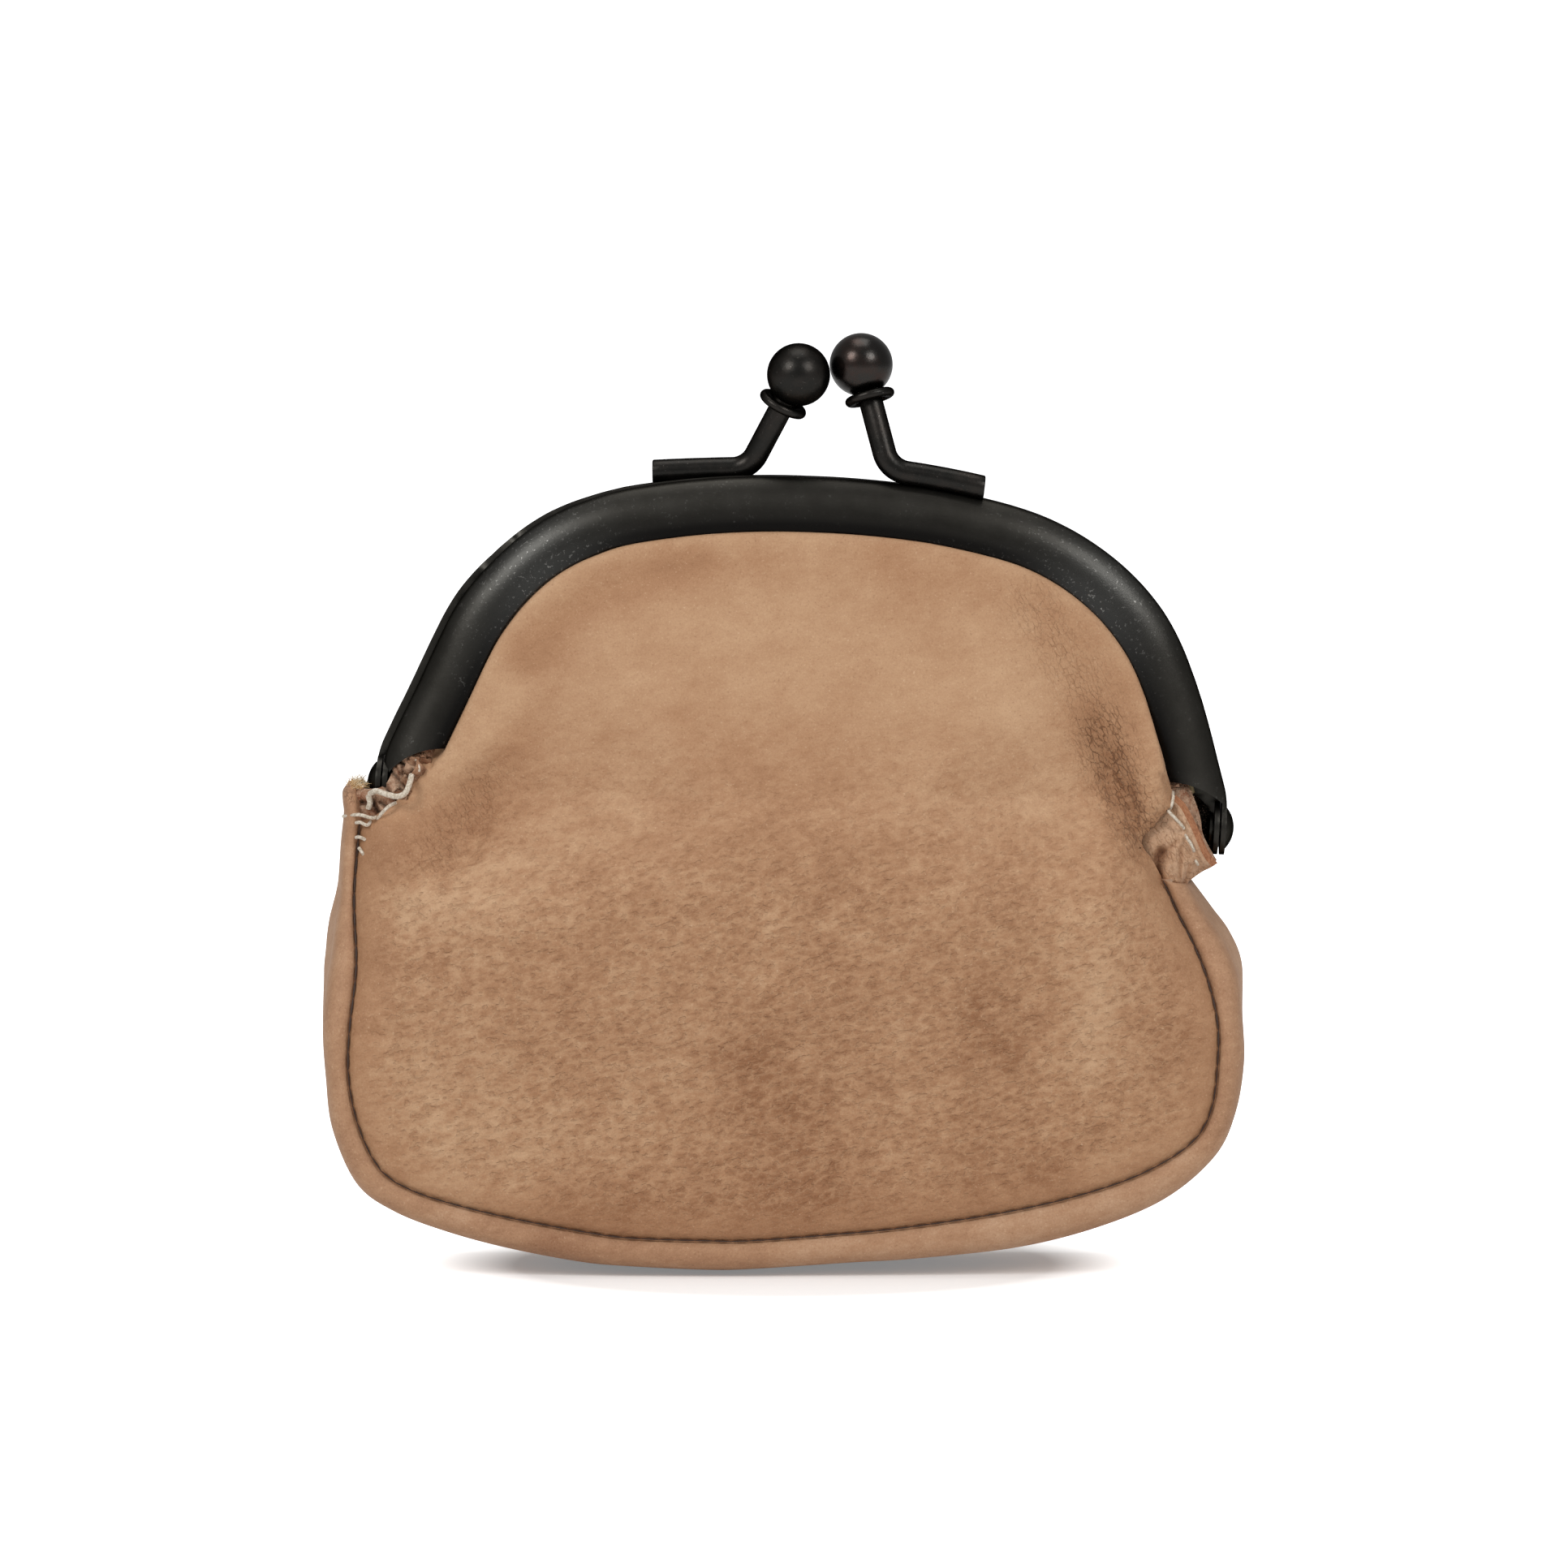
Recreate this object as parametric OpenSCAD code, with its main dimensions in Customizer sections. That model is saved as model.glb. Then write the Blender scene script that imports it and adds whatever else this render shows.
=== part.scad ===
// Small leather coin purse with an arched kiss lock frame.
// Millimetres. +X is the wearer's right in the front view, +Y points away from the viewer, +Z is up.
// The origin is under the middle of the purse, on the surface that it stands on.

/* [Leather pouch] */
// Width of the pouch across its gusset
pouch_width = 100; // [90:1:115]
// Depth of the pouch at its fullest, front to back
pouch_depth = 28; // [24:1:36]
// Height of the pouch's widest level above its base
belly_height = 26; // [22:1:30]
// Squareness of the pouch's lower outline, 2 is an ellipse
corner_power = 2.7; // [2.2:0.1:3.4]
// Thickness of the leather
leather_thickness = 1; // [0.8:0.1:1.2]
// Width of the rounded edge of the gusset outside the seam, seen from the front
welt_width = 3; // [2:0.1:4]
// Depth of the gusset between its two seams, at the belly
gusset_depth = 23; // [19:0.5:26]
// Depth of the gusset at the hinges, where the frame gathers it
gusset_top_depth = 8.4; // [7:0.1:10]
// How far the pouch presses its base flat
base_press = 0.5; // [0.3:0.1:1]
// Depth of the pouch where the panels pass the hinges
mouth_depth = 23.4; // [22.8:0.1:25]

/* [Frame arch] */
// Height of the hinge axis above the base
hinge_height = 50.2; // [48:0.2:56]
// Sideways place of the frame's middle
frame_offset = 1.8; // [0:0.1:2.5]
// Sideways lean of the frame on the soft pouch, degrees
frame_lean = 3.1; // [0:0.1:4]
// Outer radius of the arch at the crown
crown_radius = 99; // [80:1:120]
// Half angle of the crown arc
crown_angle = 12.9; // [11:0.1:14]
// Outer radius of the arch at the shoulders
shoulder_radius = 26.5; // [24:0.5:29]
// Angle of a shoulder arc
shoulder_angle = 52.8; // [50:0.1:55]
// Outer radius of the arch along its sides
side_radius = 107; // [90:1:130]
// Angle of a side arc
side_angle = 6; // [4:0.1:7]
// Length of the straight leg below the side arc
leg_length = 2.8; // [2:0.1:5]

/* [Frame channel] */
// Width of the channel, from its outer edge to its open lips
channel_width = 5.8; // [5:0.1:7]
// Depth of one channel, front to back
channel_depth = 3.5; // [3.3:0.1:4]
// Thickness of the pressed sheet
sheet_thickness = 0.6; // [0.5:0.05:0.7]
// Radius of the channel's domed front
dome_radius = 4.9; // [4.6:0.1:5.4]
// Inward distance of the dome's summit from the outer edge
dome_place = 3.9; // [3.6:0.1:4.1]
// Radius between the channel's outer edge and its dome
edge_radius = 1.3; // [1.1:0.1:1.5]
// Width of the channel's inner wall
inner_wall_width = 4.6; // [4:0.1:5.4]
// Gap between the two closed halves
halves_gap = 0.3; // [0.2:0.05:0.5]

/* [Hinges] */
// Radius of a hinge ear round its rivet
ear_radius = 2.9; // [2.6:0.1:3]
// Radius of the bend between leg and ear
ear_bend_radius = 9; // [8:0.5:12]
// Straight height of an ear above its rivet
ear_drop = 2; // [1.8:0.1:3]
// Gap between the two ears on a rivet
ear_gap = 0.15; // [0.12:0.01:0.2]
// Radius of the rounded cut where the channel ends
notch_radius = 9; // [8.5:0.5:12]
// Inward distance of the cut's summit from the ear
notch_reach = 5.8; // [5:0.1:6]
// Height of the cut's summit above the hinge axis
notch_height = 5; // [4.9:0.1:6]
// Radius of a rivet's shank
rivet_radius = 0.9; // [0.7:0.05:1.2]
// Running clearance round a shank, on the radius
rivet_clearance = 0.05; // [0.03:0.01:0.08]
// Radius of a rivet's domed head
rivet_head_radius = 2.3; // [1.8:0.1:2.8]
// Height of a rivet's domed head
rivet_head_height = 0.9; // [0.6:0.1:1.2]
// Radius of a rivet's formed tail
rivet_tail_radius = 1.6; // [1.3:0.1:2]
// Height of a rivet's formed tail
rivet_tail_height = 0.5; // [0.4:0.1:0.6]

/* [Knobs] */
// Diameter of the stem wire
wire_diameter = 2.4; // [2:0.1:2.6]
// Length of a stem's foot along the crown
foot_length = 10.4; // [8:0.2:12]
// Sideways place of a foot's inner end
foot_place = 7.2; // [6.8:0.1:9]
// Centreline radius of the bend between foot and stem
stem_bend_radius = 3; // [2.4:0.1:3.4]
// Sideways lean of the front stem from upright, degrees
front_stem_lean = 17.5; // [14:0.5:19]
// Length of the front stem, from the corner of its bend to the ball's centre
front_stem_length = 12.6; // [11.5:0.1:14]
// Sideways lean of the back stem from upright, degrees
back_stem_lean = 23.8; // [21:0.1:24.5]
// Length of the back stem, from the corner of its bend to the ball's centre
back_stem_length = 11.6; // [11:0.1:12.2]
// Lean of a stem across the mouth, degrees
stem_cross_lean = 13; // [11:0.5:15]
// Slope of a foot along the crown, degrees
foot_slope = 3.4; // [2.5:0.1:4.5]
// Diameter of a ball
ball_diameter = 6.7; // [6:0.1:6.8]
// Distance from a ball's centre down to its collar
collar_drop = 3.7; // [3.5:0.1:4.2]
// Outer diameter of a collar
collar_diameter = 5.8; // [5:0.1:6.2]
// Thickness of a collar's ring
collar_thickness = 0.9; // [0.7:0.1:1.2]
// Depth of the bore in a ball
ball_bore_depth = 2.4; // [1.8:0.1:3]
// Clearance between a stem and what is pressed on it
press_clearance = 0.02; // [0.01:0.01:0.04]

/* [Leather in the channel] */
// How far the leather's edge lies from the channel's outer edge
tuck_inset = 2.6; // [2:0.1:3.2]
// Diameter of the filler twine
twine_diameter = 0.65; // [0.5:0.05:0.7]
// Clearance between leather, twine and channel
channel_clearance = 0.06; // [0.02:0.01:0.08]

/* [Hidden] */
$fn = 72;

METAL = [0.09, 0.09, 0.085];
LEATHER = [0.69, 0.52, 0.41];
GUSSET_LEATHER = [0.66, 0.49, 0.38];
TWINE = [0.80, 0.72, 0.55];

// Arch: headings are degrees below level at the ends of the crown, shoulder and side arcs
shoulder_start = crown_angle;
side_start = shoulder_start + shoulder_angle;
leg_heading = side_start + side_angle;
rise = crown_radius * (1 - cos(shoulder_start))
    + shoulder_radius * (cos(shoulder_start) - cos(side_start))
    + side_radius * (cos(side_start) - cos(leg_heading))
    + leg_length * sin(leg_heading) + ear_bend_radius * cos(leg_heading) + ear_drop;
crown_centre = [0, rise - crown_radius];
shoulder_centre = crown_centre + (crown_radius - shoulder_radius) * [sin(shoulder_start), cos(shoulder_start)];
side_centre = shoulder_centre + (shoulder_radius - side_radius) * [sin(side_start), cos(side_start)];
leg_start = side_centre + side_radius * [sin(leg_heading), cos(leg_heading)];
leg_end = leg_start + leg_length * [cos(leg_heading), -sin(leg_heading)];
ear_bend_centre = leg_end - ear_bend_radius * [sin(leg_heading), cos(leg_heading)];
ear_outside = ear_bend_centre[0] + ear_bend_radius;
half_shift = (sheet_thickness + ear_gap) / 2;
ear_relief = 0.02;

// Channel section: centre of the dome and of the rounded outer edge
dome_steps = 7;
edge_steps = 3;
dome_centre = [dome_place, channel_depth - dome_radius];
edge_centre = [edge_radius,
    dome_centre[1] + sqrt(pow(dome_radius - edge_radius, 2) - pow(dome_place - edge_radius, 2))];
lip_inside = dome_centre[1] + sqrt(pow(dome_radius - sheet_thickness, 2) - pow(channel_width - dome_place, 2));

// Channel section as a closed outline: inward distance from the outer edge, and forward distance
function arc_points(centre, radius, from, to, steps) =
    [for (i = [0:steps]) centre + radius * [cos(mix(from, to, i / steps)), sin(mix(from, to, i / steps))]];
dome_end = atan2(edge_centre[1] - dome_centre[1], edge_centre[0] - dome_centre[0]);
function dome_start(wall) = acos((channel_width - dome_place) / (dome_radius - wall));
channel_section = concat(
    arc_points(dome_centre, dome_radius, dome_start(0), dome_end, dome_steps),
    arc_points(edge_centre, edge_radius, mix(dome_end, 180, 1 / edge_steps), 180, edge_steps - 1),
    [[0, 0], [inner_wall_width, 0], [inner_wall_width, sheet_thickness], [sheet_thickness, sheet_thickness]],
    arc_points(edge_centre, edge_radius - sheet_thickness, 180, dome_end, edge_steps),
    arc_points(dome_centre, dome_radius - sheet_thickness,
        mix(dome_end, dome_start(sheet_thickness), 1 / dome_steps), dome_start(sheet_thickness), dome_steps - 1));

// Stations along the outer edge of the arch, from left to right: place and heading
function stations(centre, radius, from, to, steps) = [for (i = [1:steps])
    let (h = mix(from, to, i / steps)) [centre[0] + radius * sin(h), centre[1] + radius * cos(h), h]];
function mirrored(list) = [for (i = [len(list) - 1:-1:0]) [-list[i][0], list[i][1], -list[i][2]]];
right_arch = concat(
    stations(crown_centre, crown_radius, 0, shoulder_start, 4),
    stations(shoulder_centre, shoulder_radius, shoulder_start, side_start, 8),
    stations(side_centre, side_radius, side_start, leg_heading, 2),
    [[leg_end[0], leg_end[1], leg_heading]]);
right_ear = concat(
    stations(ear_bend_centre, ear_bend_radius, leg_heading, 90, 3),
    [[ear_outside, 0, 90]]);
arch_stations = concat(mirrored(right_arch), [[0, rise, 0]], right_arch);
all_stations = concat(mirrored(right_ear), arch_stations, right_ear);
function arch_rings(outline, list) = [for (s = list) [for (c = outline)
    [s[0] - c[0] * sin(s[2]), -halves_gap / 2 - c[1], s[1] - c[0] * cos(s[2])]]];

// Leather in the slot, measured forward from the plane between the halves
slot_leather = halves_gap / 2 + lip_inside - channel_clearance - leather_thickness / 2;
slot_twine = halves_gap / 2 + sheet_thickness + channel_clearance + twine_diameter / 2;
twine_inset = (tuck_inset + inner_wall_width) / 2;

// Rivets: stack from the outer ear inwards
rivet_face = ear_outside + half_shift;
rivet_tail_face = rivet_face - 2 * sheet_thickness - 2 * ear_gap;
tail_flat = 0.7;

// Knobs
wire_radius = wire_diameter / 2;
ball_radius = ball_diameter / 2;
foot_gap = 0.03;
foot_forward = halves_gap / 2 + wire_radius;

// Pouch outline: the gusset's top passes inside the rivet tails
pouch_half = pouch_width / 2;
corner_gap = 0.7;
corner_half = rivet_tail_face - rivet_tail_height - corner_gap;
panel_drop = 1.2;
side_power = 2.2;
seam_gap = 0.15;
seam_power = 4;
base_plateau = 0.65;
welt_power = 2.5;
outline_split = 0.55;
diagonal = 45;
lean_step = corner_half * sin(frame_lean);
corner_reach = corner_half * cos(frame_lean);

// Flap: the corner keeps clear of the channel's end, the foot stands inside the lower panel
corner_inset = 5.4;
flap_step = 1.4;
flap_turn = 38;
flap_side_split = 0.3;
flap_clear = 9;
flap_fill = 36;

// Grids of the soft solids
across = 16;
along = 12;
gusset_steps = 12;
strip_steps = 8;

function smooth(t) = let (s = min(1, max(0, t))) s * s * (3 - 2 * s);
function mix(a, b, t) = a + (b - a) * t;

// Top of the pouch's side, at the level of the panels' top edge: side is 1 on the right, -1 on the left
function side_top(side) = hinge_height - panel_drop - side * lean_step;
function top_reach(side) = corner_reach + side * frame_offset;

// A point of the pouch's outline. inset is the distance in from the silhouette
function lower_point(angle, inset) = let (
        c = cos(angle),
        s = max(0, sin(angle)),
        x = (pouch_half - inset) * sign(c) * pow(abs(c), 2 / corner_power),
        z = belly_height - (belly_height + base_press - inset) * pow(s, 2 / corner_power)
    ) [x, max(z, inset)];
function upper_point(t, side, inset) = let (
        x = pouch_half - (pouch_half - top_reach(side)) * pow(t, side_power) - inset
    ) [side * x, mix(belly_height, side_top(side), t)];
function side_point(t, side, inset) = t < outline_split
    ? upper_point(1 - t / outline_split, side, inset)
    : let (turn = diagonal * (t - outline_split) / (1 - outline_split))
        lower_point(side > 0 ? turn : 180 - turn, inset);
function bottom_point(t, inset) = lower_point(diagonal + (180 - 2 * diagonal) * t, inset);
function top_point(t, inset) = mix(side_point(0, 1, inset), side_point(0, -1, inset), t);

// A four sided patch between the outline's sides, from right to left and from top to bottom
function patch_point(a, b, inset) =
    mix(top_point(a, inset), bottom_point(a, inset), b)
    + mix(side_point(b, 1, inset), side_point(b, -1, inset), a)
    - mix(mix(top_point(0, inset), top_point(1, inset), a), mix(bottom_point(0, inset), bottom_point(1, inset), a), b);

// Half width of the seam's outline at a height, and half depth of the gusset there
function seam_reach(z, side) = z < belly_height
    ? let (f = min(1, (belly_height - z) / (belly_height + base_press - welt_width)))
        (pouch_half - welt_width) * pow(1 - pow(f, corner_power), 1 / corner_power)
    : let (t = (z - belly_height) / (side_top(side) - belly_height))
        pouch_half - welt_width - (pouch_half - top_reach(side)) * pow(t, side_power);
function gusset_half(z, side) = mix(gusset_depth / 2, gusset_top_depth / 2,
    smooth((z - belly_height) / (side_top(side) - belly_height)));

// Depth of a panel's middle surface on the centreline and anywhere
function middle_depth(z) = z < belly_height
    ? mix(edge_depth(z, 1), (pouch_depth - leather_thickness) / 2, 1 - pow((belly_height - z) / (belly_height - welt_width), seam_power))
    : mix((pouch_depth - leather_thickness) / 2, (mouth_depth - leather_thickness) / 2,
        smooth((z - belly_height) / (hinge_height - belly_height)));
function edge_depth(z, side) = gusset_half(z, side) + seam_gap + leather_thickness / 2;
function panel_depth(p) = let (
        side = p[0] < 0 ? -1 : 1,
        reach = seam_reach(p[1], side),
        ratio = reach < 0.01 ? 1 : min(1, abs(p[0]) / reach)
    ) mix(edge_depth(p[1], side), middle_depth(p[1]), 1 - pow(ratio, seam_power));

// A point of the arch, at an inset from its outer edge, by its heading. side is 1 on the right
function arch_point(heading, inset, side) = let (
        h = abs(heading),
        ray = [sin(h), cos(h)],
        q = h <= shoulder_start ? crown_centre + (crown_radius - inset) * ray
            : h <= side_start ? shoulder_centre + (shoulder_radius - inset) * ray
            : side_centre + (side_radius - inset) * ray
    ) [side * q[0], q[1]];
// A point of the leg's line carried on down to the hinge axis, t from 0 on the axis to 1 at the side arc
function leg_point(t, inset, side) = let (
        q = leg_start - inset * [sin(leg_heading), cos(leg_heading)],
        length = q[1] / sin(leg_heading) * (1 - t)
    ) [side * (q[0] + length * cos(leg_heading)), q[1] - length * sin(leg_heading)];

// Two grids of equal size, outside and inside, closed into one solid along their rims
module shell_between(outer, inner) {
    rows = len(outer);
    cols = len(outer[0]);
    count = rows * cols;
    points = concat([for (row = outer) each row], [for (row = inner) each row]);
    function at(i, j) = i * cols + j;
    faces = concat(
        [for (i = [0:rows - 2]) for (j = [0:cols - 2]) each [
            [at(i, j), at(i, j + 1), at(i + 1, j + 1)],
            [at(i, j), at(i + 1, j + 1), at(i + 1, j)]]],
        [for (i = [0:rows - 2]) for (j = [0:cols - 2]) each [
            [count + at(i, j), count + at(i + 1, j + 1), count + at(i, j + 1)],
            [count + at(i, j), count + at(i + 1, j), count + at(i + 1, j + 1)]]],
        [for (j = [0:cols - 2]) each [
            [at(0, j), count + at(0, j), count + at(0, j + 1)],
            [at(0, j), count + at(0, j + 1), at(0, j + 1)],
            [at(rows - 1, j), count + at(rows - 1, j + 1), count + at(rows - 1, j)],
            [at(rows - 1, j), at(rows - 1, j + 1), count + at(rows - 1, j + 1)]]],
        [for (i = [0:rows - 2]) each [
            [at(i, 0), count + at(i + 1, 0), count + at(i, 0)],
            [at(i, 0), at(i + 1, 0), count + at(i + 1, 0)],
            [at(i, cols - 1), count + at(i, cols - 1), count + at(i + 1, cols - 1)],
            [at(i, cols - 1), count + at(i + 1, cols - 1), at(i + 1, cols - 1)]]]);
    polyhedron(points, faces, convexity = 6);
}

// Places: the frame leans on the pouch, and the back half is the front half turned round
module on_hinge() {
    translate([frame_offset, 0, hinge_height]) rotate([0, frame_lean, 0]) children();
}

module front_side() {
    on_hinge() translate([half_shift, 0, 0]) children();
}

module back_side() {
    on_hinge() rotate([0, 0, 180]) translate([half_shift, 0, 0]) children();
}

// A closed solid through a row of equal rings
module sweep(rings) {
    sides = len(rings[0]);
    last = len(rings) - 1;
    faces = concat(
        [[for (j = [sides - 1:-1:0]) j]],
        [[for (j = [0:sides - 1]) last * sides + j]],
        [for (i = [0:last - 1]) for (j = [0:sides - 1]) let (k = (j + 1) % sides) each [
            [i * sides + j, (i + 1) * sides + k, (i + 1) * sides + j],
            [i * sides + j, i * sides + k, (i + 1) * sides + k]]]);
    polyhedron([for (ring = rings) each ring], faces, convexity = 8);
}

// The rounded cut at a channel's end, which leaves the outer wall to become the ear
module end_notch() {
    reach = channel_width * 2;
    wall_face = ear_outside - sheet_thickness + ear_relief;
    centre = [wall_face - notch_reach, notch_height - notch_radius];
    outline = concat([[centre[0] - reach, -reach], [centre[0] - reach, notch_height]],
        arc_points(centre, notch_radius, 90, acos(notch_reach / notch_radius), 6),
        [[wall_face, -reach]]);
    translate([0, reach, 0]) rotate([90, 0, 0]) linear_extrude(2 * reach) polygon(outline);
}

// The ear is pressed a hair thinner than the wall that it grows from
module ear_disc(radius, extra) {
    translate([ear_outside - sheet_thickness + 2 * ear_relief - extra, 0, 0]) rotate([0, 90, 0])
        cylinder(r = radius, h = sheet_thickness - 3 * ear_relief + 2 * extra);
}

module half_frame() {
    difference() {
        union() {
            difference() {
                sweep(arch_rings(channel_section, all_stations));
                end_notch();
                mirror([1, 0, 0]) end_notch();
            }
            ear_disc(ear_radius, 0);
            mirror([1, 0, 0]) ear_disc(ear_radius, 0);
        }
        ear_disc(rivet_radius + rivet_clearance, 1);
        mirror([1, 0, 0]) ear_disc(rivet_radius + rivet_clearance, 1);
    }
}

// A rivet through the ears on the right: its head lies on the outer ear, its tail inside the inner one
module hinge_rivet() {
    dome = (pow(rivet_head_height, 2) + pow(rivet_head_radius, 2)) / (2 * rivet_head_height);
    head_angle = asin(rivet_head_radius / dome);
    steps = 8;
    profile = concat(
        [[0, rivet_tail_face - rivet_tail_height], [rivet_tail_radius * tail_flat, rivet_tail_face - rivet_tail_height],
            [rivet_tail_radius, rivet_tail_face - rivet_tail_height / 2], [rivet_tail_radius, rivet_tail_face],
            [rivet_radius, rivet_tail_face], [rivet_radius, rivet_face]],
        [for (i = [0:steps]) let (angle = head_angle * (1 - i / steps))
            [dome * sin(angle), rivet_face + rivet_head_height - dome * (1 - cos(angle))]]);
    rotate([0, 90, 0]) rotate_extrude() polygon(profile);
}

// A knob stands at the corner of its bend, with the foot outwards and the stem leaning over the mouth
function stem_turn(lean) = 90 - lean - foot_slope;
function stem_setback(lean) = stem_bend_radius * tan(stem_turn(lean) / 2);
// The foot lies on the crown where its straight part begins
function foot_height(lean) = let (
        setback = stem_setback(lean),
        contact = foot_place + setback * cos(foot_slope)
    ) crown_centre[1] + sqrt(pow(crown_radius, 2) - pow(contact, 2)) + foot_gap
        + wire_radius / cos(foot_slope) + setback * sin(foot_slope);

module on_knob(lean) {
    translate([foot_place, -foot_forward, foot_height(lean)]) rotate([0, foot_slope, 0])
        rotate([-stem_cross_lean, 0, 0]) children();
}

module on_stem(lean) {
    rotate([0, -lean - foot_slope, 0]) children();
}

module knob_stem(lean, length) {
    turn = stem_turn(lean);
    setback = stem_setback(lean);
    stem_top = length - ball_radius + ball_bore_depth - press_clearance;
    sides = 20;
    steps = 8;
    // Centreline points and the direction of the wire there, 0 along the foot and turn along the stem
    line = concat(
        [[foot_length, 0, 0]],
        [for (i = [0:steps]) let (a = turn * i / steps)
            [setback - stem_bend_radius * sin(a), stem_bend_radius * (1 - cos(a)), a]],
        [[-stem_top * cos(turn), stem_top * sin(turn), turn]]);
    on_knob(lean) sweep([for (p = line) [for (i = [0:sides - 1]) let (a = 360 * i / sides)
        [p[0] + wire_radius * cos(a) * sin(p[2]), -wire_radius * sin(a), p[1] + wire_radius * cos(a) * cos(p[2])]]]);
}

module knob_ball(lean, length) {
    on_knob(lean) on_stem(lean) translate([0, 0, length]) difference() {
        sphere(ball_radius);
        translate([0, 0, -ball_diameter]) cylinder(r = wire_radius + press_clearance,
            h = ball_diameter - ball_radius + ball_bore_depth);
    }
}

module knob_collar(lean, length) {
    ring = collar_thickness / 2;
    bore = wire_radius + press_clearance;
    on_knob(lean) on_stem(lean) translate([0, 0, length - collar_drop]) difference() {
        rotate_extrude() {
            translate([collar_diameter / 2 - ring, 0]) circle(ring);
            translate([0, -ring / 2]) square([collar_diameter / 2 - ring, ring]);
        }
        translate([0, 0, -ring]) cylinder(r = bore, h = 2 * ring);
    }
}

// Filler twine in the slot, from one end of the channel to the other
module filler_twine() {
    sides = 8;
    centre = [twine_inset, slot_twine - halves_gap / 2];
    outline = [for (i = [0:sides - 1]) centre + twine_diameter / 2 * [cos(360 * i / sides), sin(360 * i / sides)]];
    sweep(arch_rings(outline, arch_stations));
}

// Upper part of a panel: it fills the arch, tucked in the channel, and stops at the hinge line
function flap_side_point(t, side) = t < flap_side_split
    ? leg_point(t / flap_side_split, tuck_inset + corner_inset * (1 - smooth(t / flap_side_split)), side)
    : arch_point(mix(leg_heading, flap_turn, (t - flap_side_split) / (1 - flap_side_split)), tuck_inset, side);
function flap_top_point(t) = arch_point(flap_turn * (1 - 2 * t), tuck_inset, t < 0.5 ? 1 : -1);
function flap_foot_point(t) = mix(flap_side_point(0, 1), flap_side_point(0, -1), t);
function flap_point(a, b) =
    mix(flap_foot_point(a), flap_top_point(a), b)
    + mix(flap_side_point(b, 1), flap_side_point(b, -1), a)
    - mix(mix(flap_foot_point(0), flap_foot_point(1), a), mix(flap_top_point(0), flap_top_point(1), a), b);
function arch_inset(q) = let (
        p = [abs(q[0]), q[1]],
        from_crown = p - crown_centre,
        from_shoulder = p - shoulder_centre
    ) atan2(from_crown[0], from_crown[1]) <= shoulder_start ? crown_radius - norm(from_crown)
        : atan2(from_shoulder[0], from_shoulder[1]) <= side_start ? shoulder_radius - norm(from_shoulder)
        : side_radius - norm(p - side_centre);
function flap_depth(q) = let (
        full = (mouth_depth - leather_thickness) / 2 - flap_step - leather_thickness / 2,
        t = min(1, max(0, (arch_inset(q) - flap_clear) / (flap_fill - flap_clear)))
    ) mix(slot_leather, full, t);

module panel_flap() {
    function layer(offset) = [for (j = [0:along]) [for (i = [0:across])
        let (q = flap_point(i / across, j / along))
            [q[0], -flap_depth(q) - offset, q[1]]]];
    shell_between(layer(leather_thickness / 2), layer(-leather_thickness / 2));
}

// Lower part of a panel, from the hinge line to the seam
module panel_body() {
    function layer(offset) = [for (j = [0:along]) [for (i = [0:across])
        let (q = patch_point(i / across, j / along, welt_width))
            [q[0], -panel_depth(q) - offset, q[1]]]];
    shell_between(layer(-leather_thickness / 2), layer(leather_thickness / 2));
}

// The gusset strip bulges out between its two seams and lies flat under the purse
module gusset_strip() {
    function swell(j) = 1 - pow(max(0, (abs(j) - base_plateau) / (1 - base_plateau)), welt_power);
    function strip_point(k, inset) = k < gusset_steps ? side_point(k / gusset_steps, 1, inset)
        : k <= 2 * gusset_steps ? bottom_point((k - gusset_steps) / gusset_steps, inset)
        : side_point(3 - k / gusset_steps, -1, inset);
    function layer(wall) = [for (k = [0:3 * gusset_steps]) [for (i = [0:strip_steps])
        let (
            j = 2 * i / strip_steps - 1,
            edge = strip_point(k, welt_width + wall),
            crest = strip_point(k, wall),
            q = mix(edge, crest, swell(j)),
            level = strip_point(k, welt_width)
        ) [q[0], j * gusset_half(level[1], level[0] < 0 ? -1 : 1), q[1]]]];
    shell_between(layer(0), layer(leather_thickness));
}

module front_frame() { color(METAL) front_side() half_frame(); }
module back_frame() { color(METAL) back_side() half_frame(); }
module front_stem() { color(METAL) front_side() knob_stem(front_stem_lean, front_stem_length); }
module back_stem() { color(METAL) back_side() knob_stem(back_stem_lean, back_stem_length); }
module front_ball() { color(METAL) front_side() knob_ball(front_stem_lean, front_stem_length); }
module back_ball() { color(METAL) back_side() knob_ball(back_stem_lean, back_stem_length); }
module front_collar() { color(METAL) front_side() knob_collar(front_stem_lean, front_stem_length); }
module back_collar() { color(METAL) back_side() knob_collar(back_stem_lean, back_stem_length); }
module rivet_right() { color(METAL) on_hinge() hinge_rivet(); }
module rivet_left() { color(METAL) on_hinge() rotate([0, 0, 180]) hinge_rivet(); }
module front_twine() { color(TWINE) front_side() filler_twine(); }
module back_twine() { color(TWINE) back_side() filler_twine(); }
module front_flap() { color(LEATHER) front_side() panel_flap(); }
module back_flap() { color(LEATHER) back_side() panel_flap(); }
module front_panel() { color(LEATHER) panel_body(); }
module back_panel() { color(LEATHER) mirror([0, 1, 0]) panel_body(); }
module gusset() { color(GUSSET_LEATHER) gusset_strip(); }

front_frame();
back_frame();
front_stem();
back_stem();
front_ball();
back_ball();
front_collar();
back_collar();
rivet_right();
rivet_left();
front_twine();
back_twine();
front_flap();
back_flap();
front_panel();
back_panel();
gusset();
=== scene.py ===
import bpy
import math
import random
import numpy as np
from mathutils import Matrix, Vector


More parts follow.
